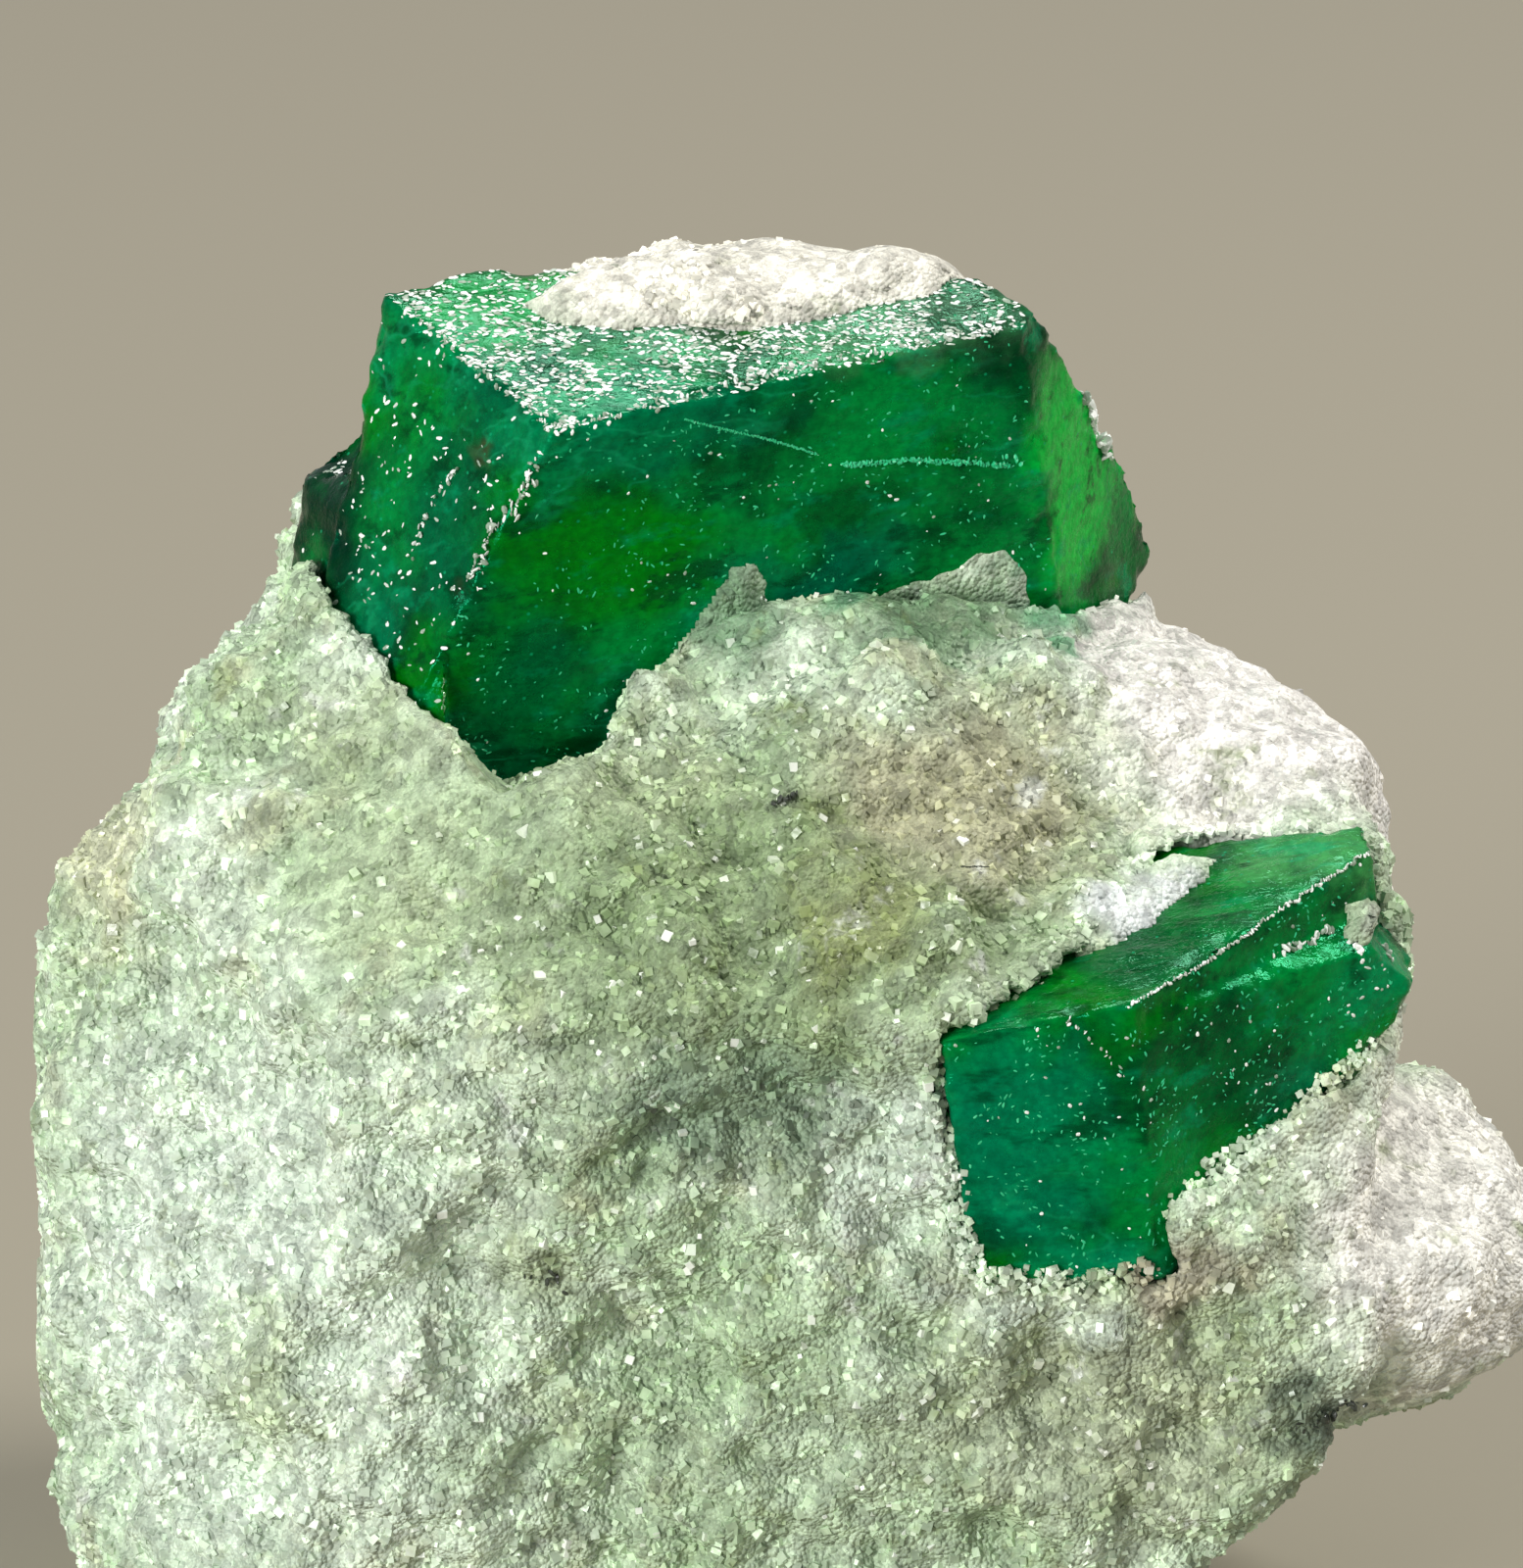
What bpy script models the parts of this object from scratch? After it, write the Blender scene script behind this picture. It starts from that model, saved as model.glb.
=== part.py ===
"""Emerald in matrix: two emerald crystals seated in a chunk of pale, sugary rock.

The specimen stands on a flat break. +Z is up, the crystals face -Y, and the origin is
under the middle of its bounding box. Everything is in metres; the tables are in millimetres.
"""

import math

import bmesh
import bpy
import numpy as np
from mathutils import Matrix, Vector, noise

MM = 0.001

# Seating: each crystal fills its socket in the rock but for this gap all round.
SOCKET_GAP = 0.10

# A crystal is one or more growth blocks. A block is cut out of solid by flat faces, each given as
# (azimuth, elevation, distance): azimuth 0 faces the front and 90 the right, in degrees, and
# the distance is in mm from the crystal's centre.
LARGE_CENTRE = (-0.6, 3.6, 19.2)
LARGE_BODY = {
    "top": (0, 68, 3.4),
    "front": (20, -11, 1.1),
    "left_end": (-44, 18, 4.5),
    "left_back": (-100, 10, 6.3),
    "right_bevel": (62, 0, 4.4),
    "right_shoulder": (105, 33, 6.3),
    "right_foot": (95, -29, 7.43),
    "left_rear": (-150, 35, 5.1),
    "right_rear": (125, 40.5, 5.8),
    "back": (178, 30, 3.2),
    "back_foot": (180, -15, 5.2),
    "underside": (0, -80, 5.0),
}
LARGE_KNOB = {
    "top": (-90, 52, 4.8),
    "front": (-44, 18, 4.4),
    "side_front": (-60, 11, 5.5),
    "side": (-90, 8, 7.1),
    "right": (90, 0, -4.6),
    "back": (180, 0, 1.6),
    "underside": (-60, -66, 5.4),
}
SMALL_CENTRE = (6.8, -1.0, 11.5)
SMALL_PLATE = {
    "top": (-46, 74, 2.9),
    "front_left": (2, -5, 3.1),
    "front_right": (40, 0, 2.0),
    "left_end": (-86, -8, 3.9),
    "right_end": (94, 8, 3.65),
    "right_foot": (94, -30, 2.1),
    "back": (172, 10, 1.95),
    "underside": (0, -84, 3.0),
}
SMALL_STEP = {
    "ledge": (30, 48, 3.0),
    "crest": (-46, 74, 2.5),
    "front": (34, -4, 2.1),
    "left_end": (-86, -8, 0.6),
    "right_top": (84, 38, 3.9),
    "right_end": (88, -22, 3.1),
    "right_foot": (80, -46, 1.95),
    "back": (176, 0, 1.4),
    "underside": (60, -62, 2.6),
}

# The rock is a boulder whose surface is measured out from its heart. Break faces bound it, given
# like the crystals' faces, and lumps stand out of it, as (centre, radii) in mm.
HEART = (0.0, 2.5, 10.5)
BREAKS = {
    "front": (0, -3, 6.5),
    "front_low": (-4, -38, 10.8),
    "front_left": (-46, 6, 9.4),
    "front_right": (30, 24, 8.1),
    "shoulder_left": (-19, 49, 7.2),
    "shoulder_right": (12, 56, 6.1),
    "left_upper": (-90, 41, 10.9),
    "left_middle": (-90, 22, 11.9),
    "left": (-90, -2, 12.1),
    "left_foot": (-92, -11, 12.9),
    "right_upper": (90, 42, 10.7),
    "right": (92, 2, 10.2),
    "right_low": (88, -20, 11.0),
    "right_foot": (86, -51, 10.6),
    "right_brow": (110, 74, 8.0),
    "back_upper": (178, 32, 10.0),
    "back": (178, 2, 7.8),
    "back_left": (-140, 4, 9.6),
    "back_right": (138, -4, 9.0),
    "back_foot": (180, -36, 10.4),
}
LUMPS = {
    "cap": ((-0.2, 5.4, 22.1), (5.0, 2.3, 1.5)),
    "cap_left": ((-2.4, 4.9, 22.5), (2.4, 1.6, 1.05)),
    "cap_right": ((2.2, 5.2, 22.5), (1.9, 1.3, 1.05)),
    "back_mass": ((-0.6, 6.6, 17.9), (6.2, 3.3, 5.1)),
    "left_saddle": ((-3.0, 6.5, 16.0), (4.2, 3.4, 4.2)),
    "right_saddle": ((3.0, 6.8, 15.5), (4.0, 3.2, 4.4)),
    "right_lobe": ((8.2, 1.0, 7.6), (5.2, 4.2, 3.1)),
}
# Hollows sink the surface round a point: (point, reach, depth) in mm.
HOLLOWS = {
    "front_hollow": ((-1.0, -4.0, 12.0), 1.8, 0.8),
}
# Chips bare the crystals' fronts: where one came away the rock is missing, down to just behind the
# crystal's face. Each is a block given like a growth block, from the centre of its crystal.
CHIPS = {
    "left_chip": (
        LARGE_CENTRE,
        {
            "left": (-74, -37.5, 5.7),
            "right": (78, -34, 0.38),
            "under": (40, -67.5, 3.3),
            "back": (-160, 11, -0.9),
        },
    ),
    "right_chip": (LARGE_CENTRE, {"under": (-126, -71, 0.2), "back": (-160, 11, -0.9)}),
    "bevel_chip": (LARGE_CENTRE, {"under": (-90, -73, 0.0), "back": (-118, 0, -4.2)}),
    "plate_chip": (
        SMALL_CENTRE,
        {
            "left": (-117, -5, 1.9),
            "right": (110, 5, -1.3),
            "under": (-161, -67, 1.5),
            "back": (-178, 5, -2.9),
        },
    ),
    "step_chip": (
        SMALL_CENTRE,
        {"left": (-117, -5, -0.7), "under": (163, -64, 0.0), "back": (-140, 0, -1.8)},
    ),
}
BREAK_SHARPNESS = 40
FOOT_TRIM = 1.0  # depth of stone cut away to leave the flat foot, in mm
SWELLS = ((5.0, 0.6, 11), (2.1, 0.4, 23), (0.9, 0.14, 37))  # (wavelength, height, seed) in mm
SLAB_SIZE = 60.0  # uncut blocks and slabs, larger than the whole specimen, in mm
BOULDER_SUBDIVISIONS = 6
LUMP_SUBDIVISIONS = 5
FACES_KEPT = 0.22

ROCK_COLOUR = (0.62, 0.74, 0.60, 1.0)
EMERALD_COLOUR = (0.0, 0.22, 0.08, 1.0)


def facing(azimuth, elevation):
    """Unit vector that points azimuth degrees right of the front and elevation degrees up."""
    az, el = math.radians(azimuth), math.radians(elevation)
    return Vector((math.cos(el) * math.sin(az), -math.cos(el) * math.cos(az), math.sin(el)))


def clear_scene():
    for obj in list(bpy.data.objects):
        bpy.data.objects.remove(obj)


def material(name, colour, roughness):
    made = bpy.data.materials.new(name)
    made.use_nodes = True
    shader = made.node_tree.nodes["Principled BSDF"]
    shader.inputs["Base Color"].default_value = colour
    shader.inputs["Roughness"].default_value = roughness
    shader.inputs["Metallic"].default_value = 0.0
    return made


def new_object(name, mesh, collection):
    obj = bpy.data.objects.new(name, mesh)
    collection.objects.link(obj)
    return obj


def cut_block(name, centre, faces, grow, collection):
    """A growth block: a cube larger than the crystal, cut back by each of its flat faces."""
    bm = bmesh.new()
    bmesh.ops.create_cube(bm, size=SLAB_SIZE * MM, matrix=Matrix.Translation(Vector(centre) * MM))
    for azimuth, elevation, distance in faces.values():
        normal = facing(azimuth, elevation)
        point = Vector(centre) * MM + normal * (distance + grow) * MM
        geometry = bm.verts[:] + bm.edges[:] + bm.faces[:]
        cut = bmesh.ops.bisect_plane(
            bm, geom=geometry, dist=1e-7, plane_co=point, plane_no=normal, clear_outer=True
        )
        rim = [item for item in cut["geom_cut"] if isinstance(item, bmesh.types.BMEdge)]
        bmesh.ops.contextual_create(bm, geom=rim)
    bmesh.ops.recalc_face_normals(bm, faces=bm.faces[:])
    mesh = bpy.data.meshes.new(name)
    bm.to_mesh(mesh)
    bm.free()
    return new_object(name, mesh, collection)


def add_boolean(obj, other, operation):
    modifier = obj.modifiers.new(f"{operation.lower()}_{other.name}", "BOOLEAN")
    modifier.operation = operation
    modifier.object = other
    modifier.solver = "EXACT"


def helper(obj):
    """Keeps a cutter or a joined block out of the finished specimen."""
    obj.hide_render = True
    obj.display_type = "WIRE"
    return obj


def crystal(name, centre, blocks, emerald, shown, helpers):
    """A crystal joined from its growth blocks, and the slightly larger blocks that cut its socket."""
    body, *others = blocks
    obj = cut_block(name, centre, body, 0, shown)
    obj.data.materials.append(emerald)
    for number, faces in enumerate(others, start=1):
        block = helper(cut_block(f"{name}_block_{number}", centre, faces, 0, helpers))
        add_boolean(obj, block, "UNION")
    sockets = [
        helper(cut_block(f"{name}_socket_{number}", centre, faces, SOCKET_GAP, helpers))
        for number, faces in enumerate(blocks)
    ]
    return obj, sockets


def boulder_radius(directions):
    """Distance from the heart to the break faces along each direction, rounded where faces meet."""
    nearness = np.zeros(len(directions))
    for azimuth, elevation, distance in BREAKS.values():
        along = directions @ np.array(facing(azimuth, elevation))
        nearness += np.where(along > 0, along, 0) ** BREAK_SHARPNESS / distance**BREAK_SHARPNESS
    return nearness ** (-1 / BREAK_SHARPNESS)


def swell(point):
    """Height of the rock's rises and hollows at a point, in mm."""
    height = 0.0
    for wavelength, amount, seed in SWELLS:
        place = Vector(point) / wavelength + Vector((seed, 2 * seed, 3 * seed))
        height += amount * noise.noise(place)
    for centre, reach, depth in HOLLOWS.values():
        away = (Vector(point) - Vector(centre)).length
        height -= depth * math.exp(-((away / reach) ** 2))
    return height


def stone_ball(name, subdivisions, surface_of, stone, collection):
    """A ball of fine triangles pushed out to a surface, then thinned to fewer, larger faces."""
    bm = bmesh.new()
    bmesh.ops.create_icosphere(bm, subdivisions=subdivisions, radius=1)
    directions = np.array([vertex.co.normalized() for vertex in bm.verts])
    for vertex, direction, point in zip(bm.verts, directions, surface_of(directions), strict=True):
        moved = Vector(point) + Vector(direction) * swell(point)
        moved.z = max(moved.z, -FOOT_TRIM)
        vertex.co = moved * MM
    mesh = bpy.data.meshes.new(name)
    bm.to_mesh(mesh)
    bm.free()
    mesh.materials.append(stone)
    ball = new_object(name, mesh, collection)
    fewer = ball.modifiers.new("fewer_faces", "DECIMATE")
    fewer.ratio = FACES_KEPT
    return ball


def matrix_rock(stone, shown, helpers):
    """The rock: a boulder between its break faces, joined with the lumps that stand out of it."""
    def boulder(directions):
        return np.array(HEART) + directions * boulder_radius(directions)[:, None]

    rock = stone_ball("matrix", BOULDER_SUBDIVISIONS, boulder, stone, shown)
    for name, (centre, radii) in LUMPS.items():
        def ellipsoid(directions, centre=centre, radii=radii):
            return np.array(centre) + directions * np.array(radii)

        lump = stone_ball(name, LUMP_SUBDIVISIONS, ellipsoid, stone, helpers)
        add_boolean(rock, helper(lump), "UNION")
    return rock


def foot_cutter(helpers):
    """A slab whose top is the level the specimen stands on."""
    bm = bmesh.new()
    below = Matrix.Translation(Vector((0, 0, -SLAB_SIZE / 2)) * MM)
    bmesh.ops.create_cube(bm, size=SLAB_SIZE * MM, matrix=below)
    mesh = bpy.data.meshes.new("foot_cutter")
    bm.to_mesh(mesh)
    bm.free()
    return helper(new_object("foot_cutter", mesh, helpers))


def rest_on_origin(objects):
    """Slides every object alike so that the origin is under the middle of the specimen."""
    graph = bpy.context.evaluated_depsgraph_get()
    points = []
    for obj in objects:
        if not obj.hide_render:
            points += [obj.matrix_world @ vertex.co for vertex in obj.evaluated_get(graph).data.vertices]
    low, high = (Vector([pick(axis) for axis in zip(*points, strict=True)]) for pick in (min, max))
    middle = (low + high) / 2
    shift = Matrix.Translation((-middle.x, -middle.y, -low.z))
    for obj in objects:
        obj.data.transform(shift)


def main():
    clear_scene()
    shown = bpy.data.collections.new("emerald_in_matrix")
    helpers = bpy.data.collections.new("cutters")
    for collection in (shown, helpers):
        bpy.context.scene.collection.children.link(collection)
    stone = material("pale_sugary_rock", ROCK_COLOUR, 0.8)
    emerald = material("emerald", EMERALD_COLOUR, 0.2)
    rock = matrix_rock(stone, shown, helpers)
    crystals = {
        "large_crystal": (LARGE_CENTRE, (LARGE_BODY, LARGE_KNOB)),
        "small_crystal": (SMALL_CENTRE, (SMALL_PLATE, SMALL_STEP)),
    }
    for name, (centre, blocks) in crystals.items():
        _, sockets = crystal(name, centre, blocks, emerald, shown, helpers)
        for socket in sockets:
            add_boolean(rock, socket, "DIFFERENCE")
    add_boolean(rock, foot_cutter(helpers), "DIFFERENCE")
    for name, (centre, faces) in CHIPS.items():
        add_boolean(rock, helper(cut_block(name, centre, faces, 0, helpers)), "DIFFERENCE")
    rest_on_origin(shown.objects[:] + helpers.objects[:])


main()
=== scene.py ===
"""Emerald in matrix: two deep green emerald crystals grown in a pale, sugary, mint-green rock."""

from __future__ import annotations

import logging
import math
from dataclasses import dataclass, field
from enum import Enum

import bmesh
import bpy
import numpy as np
from mathutils import Euler, Matrix, Vector, noise
from mathutils.bvhtree import BVHTree
from mathutils.kdtree import KDTree


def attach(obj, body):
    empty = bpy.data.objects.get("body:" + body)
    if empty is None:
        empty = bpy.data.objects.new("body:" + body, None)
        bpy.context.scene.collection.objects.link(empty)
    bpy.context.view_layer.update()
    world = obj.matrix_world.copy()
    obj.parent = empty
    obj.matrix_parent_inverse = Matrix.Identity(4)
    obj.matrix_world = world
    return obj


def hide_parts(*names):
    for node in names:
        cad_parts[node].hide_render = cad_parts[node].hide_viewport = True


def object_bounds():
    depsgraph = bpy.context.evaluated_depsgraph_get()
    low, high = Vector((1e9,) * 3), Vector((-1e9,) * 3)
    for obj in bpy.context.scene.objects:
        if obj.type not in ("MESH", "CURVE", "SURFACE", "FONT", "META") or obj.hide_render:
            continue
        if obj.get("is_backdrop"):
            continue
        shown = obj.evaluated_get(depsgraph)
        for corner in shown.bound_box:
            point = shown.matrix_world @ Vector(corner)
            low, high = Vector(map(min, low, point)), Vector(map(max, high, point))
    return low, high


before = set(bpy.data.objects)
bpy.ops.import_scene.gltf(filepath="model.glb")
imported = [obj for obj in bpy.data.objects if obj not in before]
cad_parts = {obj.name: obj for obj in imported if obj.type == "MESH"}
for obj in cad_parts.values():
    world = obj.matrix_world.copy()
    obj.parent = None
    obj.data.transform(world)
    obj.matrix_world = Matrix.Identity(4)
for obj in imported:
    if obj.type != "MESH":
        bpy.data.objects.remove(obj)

LOG = logging.getLogger("emerald_in_matrix")
MM = 0.001
TONE = "tone"
STEPS_PER_LEG = 12

Colour = tuple[float, float, float]
Point = tuple[float, float, float]


class Slot(Enum):
    """The finishes that the part's record knows."""

    ROCK = "pale_sugary_rock"
    EMERALD = "emerald"


class Trim(Enum):
    """The small minerals that lie on the crystals and inside them."""

    MICA = "mica"
    FLECK = "fleck"


# ------------------------------------------------------------------ mesh helpers


def node_mesh(name: str) -> bpy.types.Mesh:
    """Copies a solid of the part as one joined mesh, measured in millimetres.

    Args:
        name: the solid's name.

    Returns:
        A new mesh whose coordinates are millimetres.
    """
    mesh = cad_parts[name].data.copy()
    work = bmesh.new()
    work.from_mesh(mesh)
    bmesh.ops.remove_doubles(work, verts=work.verts, dist=1e-7)
    bmesh.ops.scale(work, vec=(1 / MM,) * 3, verts=work.verts)
    work.to_mesh(mesh)
    work.free()
    mesh.materials.clear()
    return mesh


def tree_of(mesh: bpy.types.Mesh) -> BVHTree:
    """Returns a search tree over a mesh's faces, in the mesh's own units."""
    return BVHTree.FromPolygons(
        [v.co.copy() for v in mesh.vertices], [p.vertices[:] for p in mesh.polygons]
    )


def points_of(mesh: bpy.types.Mesh) -> np.ndarray:
    """Returns a mesh's vertex places as an array of rows."""
    flat = np.zeros(len(mesh.vertices) * 3)
    mesh.vertices.foreach_get("co", flat)
    return flat.reshape(-1, 3)


def normals_of(mesh: bpy.types.Mesh) -> np.ndarray:
    """Returns a mesh's vertex normals as an array of rows."""
    flat = np.zeros(len(mesh.vertices) * 3)
    mesh.vertices.foreach_get("normal", flat)
    return flat.reshape(-1, 3)


def put_points(mesh: bpy.types.Mesh, rows: np.ndarray) -> None:
    """Writes rows of vertex places back to a mesh."""
    mesh.vertices.foreach_set("co", rows.astype(np.float32).ravel())
    mesh.update()


def applied(mesh: bpy.types.Mesh, kind: str, **settings: object) -> bpy.types.Mesh:
    """Runs one modifier over a mesh and keeps the result.

    Args:
        mesh: the mesh to change.
        kind: the modifier's type.
        settings: its settings.

    Returns:
        The changed mesh, as new data.
    """
    carrier = bpy.data.objects.new("carrier", mesh)
    bpy.context.scene.collection.objects.link(carrier)
    step = carrier.modifiers.new(kind.lower(), kind)
    for key, value in settings.items():
        setattr(step, key, value)
    return baked(carrier)


def baked(carrier: bpy.types.Object) -> bpy.types.Mesh:
    """Turns an object with modifiers into a plain mesh and removes the object."""
    bpy.context.view_layer.update()
    graph = bpy.context.evaluated_depsgraph_get()
    result = bpy.data.meshes.new_from_object(carrier.evaluated_get(graph))
    bpy.data.objects.remove(carrier)
    return result


def as_piece(
    name: str,
    mesh: bpy.types.Mesh,
    finish: bpy.types.Material,
    stands_for: str | None = None,
    smooth: bool = False,
) -> bpy.types.Object:
    """Puts a mesh measured in millimetres into the scene as a finished piece.

    Args:
        name: the piece's name.
        mesh: its shape, in millimetres.
        finish: its material.
        stands_for: the solid it is shown in place of.
        smooth: whether its faces are shaded smoothly.

    Returns:
        The piece.
    """
    mesh.name = name
    mesh.transform(Matrix.Scale(MM, 4))
    mesh.materials.clear()
    mesh.materials.append(finish)
    mesh.polygons.foreach_set("material_index", [0] * len(mesh.polygons))
    mesh.polygons.foreach_set("use_smooth", [smooth] * len(mesh.polygons))
    mesh.update()
    piece = bpy.data.objects.new(name, mesh)
    bpy.context.scene.collection.objects.link(piece)
    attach(piece, "root")
    if stands_for:
        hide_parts(stands_for)
    LOG.info("%s: %d faces", name, len(mesh.polygons))
    return piece


def kept_inside(mesh: bpy.types.Mesh, low: Vector, high: Vector) -> None:
    """Holds every vertex of a mesh inside the part's own box."""
    rows = points_of(mesh)
    put_points(mesh, np.clip(rows, np.array(low) / MM, np.array(high) / MM))


# ------------------------------------------------------------------ shader helpers


@dataclass
class Shader:
    """Writes one surface material, node by node."""

    name: str
    material: bpy.types.Material = field(init=False)

    def __post_init__(self) -> None:
        """Starts the material with its surface shader and object coordinates."""
        self.material = bpy.data.materials.new(self.name)
        self.material.use_nodes = True
        self.tree = self.material.node_tree
        self.surface = self.tree.nodes["Principled BSDF"]
        self.output = self.tree.nodes["Material Output"]
        self.place = self.node("ShaderNodeTexCoord").outputs["Object"]

    def node(self, kind: str, **settings: object) -> bpy.types.Node:
        """Adds one node.

        Args:
            kind: the node's type.
            settings: its settings.

        Returns:
            The node.
        """
        made = self.tree.nodes.new(kind)
        for key, value in settings.items():
            setattr(made, key, value)
        return made

    def feed(self, socket: bpy.types.NodeSocket, value: object) -> None:
        """Links an output to a socket, or sets the socket's own value."""
        if isinstance(value, bpy.types.NodeSocket):
            self.tree.links.new(value, socket)
        elif isinstance(value, tuple) and len(value) == 3 and socket.type == "RGBA":
            socket.default_value = (*value, 1.0)
        else:
            socket.default_value = value

    def set(self, **values: object) -> None:
        """Sets the surface shader's sockets, named with underscores for spaces."""
        for key, value in values.items():
            self.feed(self.surface.inputs[key.replace("_", " ")], value)

    def noise(
        self, scale: float, detail: float = 4.0, rough: float = 0.55, where: object = None
    ) -> bpy.types.Node:
        """Adds fractal noise.

        Args:
            scale: how many ripples there are to a metre.
            detail: how many octaves it has.
            rough: how strong the fine octaves are.
            where: the coordinates it reads, or None for the object's own.

        Returns:
            The noise node.
        """
        made = self.node("ShaderNodeTexNoise")
        self.feed(made.inputs["Vector"], where or self.place)
        made.inputs["Scale"].default_value = scale
        made.inputs["Detail"].default_value = detail
        made.inputs["Roughness"].default_value = rough
        return made

    def cells(self, scale: float) -> bpy.types.Node:
        """Adds a cell pattern with this many cells to a metre."""
        made = self.node("ShaderNodeTexVoronoi")
        self.feed(made.inputs["Vector"], self.place)
        made.inputs["Scale"].default_value = scale
        return made

    def math(self, kind: str, a: object, b: object = 0.0) -> object:
        """Adds a sum on two numbers and returns its result."""
        made = self.node("ShaderNodeMath", operation=kind)
        self.feed(made.inputs[0], a)
        self.feed(made.inputs[1], b)
        return made.outputs[0]

    def between(
        self, value: object, low: float, high: float, to_low: object = 0.0, to_high: object = 1.0
    ) -> object:
        """Maps a number smoothly from one span to another.

        Args:
            value: the number.
            low: where the first span starts.
            high: where it ends.
            to_low: what its start becomes.
            to_high: what its end becomes.

        Returns:
            The mapped number.
        """
        made = self.node("ShaderNodeMapRange", interpolation_type="SMOOTHSTEP")
        for socket, number in zip(made.inputs[:5], (value, low, high, to_low, to_high)):
            self.feed(socket, number)
        return made.outputs[0]

    def vector(self, kind: str, a: object, b: object = (0.0, 0.0, 0.0)) -> bpy.types.Node:
        """Adds a sum on two vectors and returns its node."""
        made = self.node("ShaderNodeVectorMath", operation=kind)
        self.feed(made.inputs[0], a)
        self.feed(made.inputs[1], b)
        return made

    def mixed(self, share: object, a: object, b: object, kind: str = "MIX") -> object:
        """Blends two colours.

        Args:
            share: how much of the second colour there is.
            a: the first colour.
            b: the second colour.
            kind: how they blend.

        Returns:
            The blended colour.
        """
        made = self.node("ShaderNodeMix", data_type="RGBA", blend_type=kind)
        self.feed(made.inputs[0], share)
        self.feed(made.inputs[6], a)
        self.feed(made.inputs[7], b)
        return made.outputs[2]

    def bump(self, height: object, depth_mm: float, strength: float = 1.0) -> object:
        """Turns a height into relief.

        Args:
            height: the height pattern, 0 to 1.
            depth_mm: how deep it is, in millimetres.
            strength: how much of it shows.

        Returns:
            The bent normal.
        """
        made = self.node("ShaderNodeBump")
        made.inputs["Strength"].default_value = strength
        made.inputs["Distance"].default_value = depth_mm * MM
        self.feed(made.inputs["Height"], height)
        return made.outputs["Normal"]


@dataclass(frozen=True)
class Patch:
    """A patch of another tint in the rock, with soft ragged edges."""

    centre: Point
    reach: Point
    tint: Colour
    strength: float = 1.0
    core: float = 0.3


def grey(shader: Shader, value: object) -> object:
    """Returns a grey made from one number."""
    made = shader.node("ShaderNodeCombineColor")
    for socket in made.inputs:
        shader.feed(socket, value)
    return made.outputs[0]


def patched(shader: Shader, tint: object, patches: tuple[Patch, ...], ragged: float) -> object:
    """Lays patches of other tints over a colour.

    Args:
        shader: the material that they go into.
        tint: the colour underneath.
        patches: the patches, in millimetres.
        ragged: how far their edges wander, in millimetres.

    Returns:
        The patched colour, as a node output.
    """
    drift = shader.noise(520.0, 3.0, 0.6)
    pushed = shader.vector("SUBTRACT", drift.outputs["Color"], (0.5, 0.5, 0.5)).outputs[0]
    far = shader.vector("SCALE", pushed)
    far.inputs["Scale"].default_value = 2.0 * ragged * MM
    where = shader.vector("ADD", shader.place, far.outputs[0]).outputs[0]
    for patch in patches:
        centre = tuple(c * MM for c in patch.centre)
        reach = tuple(r * MM for r in patch.reach)
        away = shader.vector("SUBTRACT", where, centre).outputs[0]
        scaled = shader.vector("DIVIDE", away, reach).outputs[0]
        size = shader.vector("LENGTH", scaled).outputs["Value"]
        share = shader.between(size, 1.0, patch.core, 0.0, patch.strength)
        tint = shader.mixed(share, tint, patch.tint)
    return tint


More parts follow.
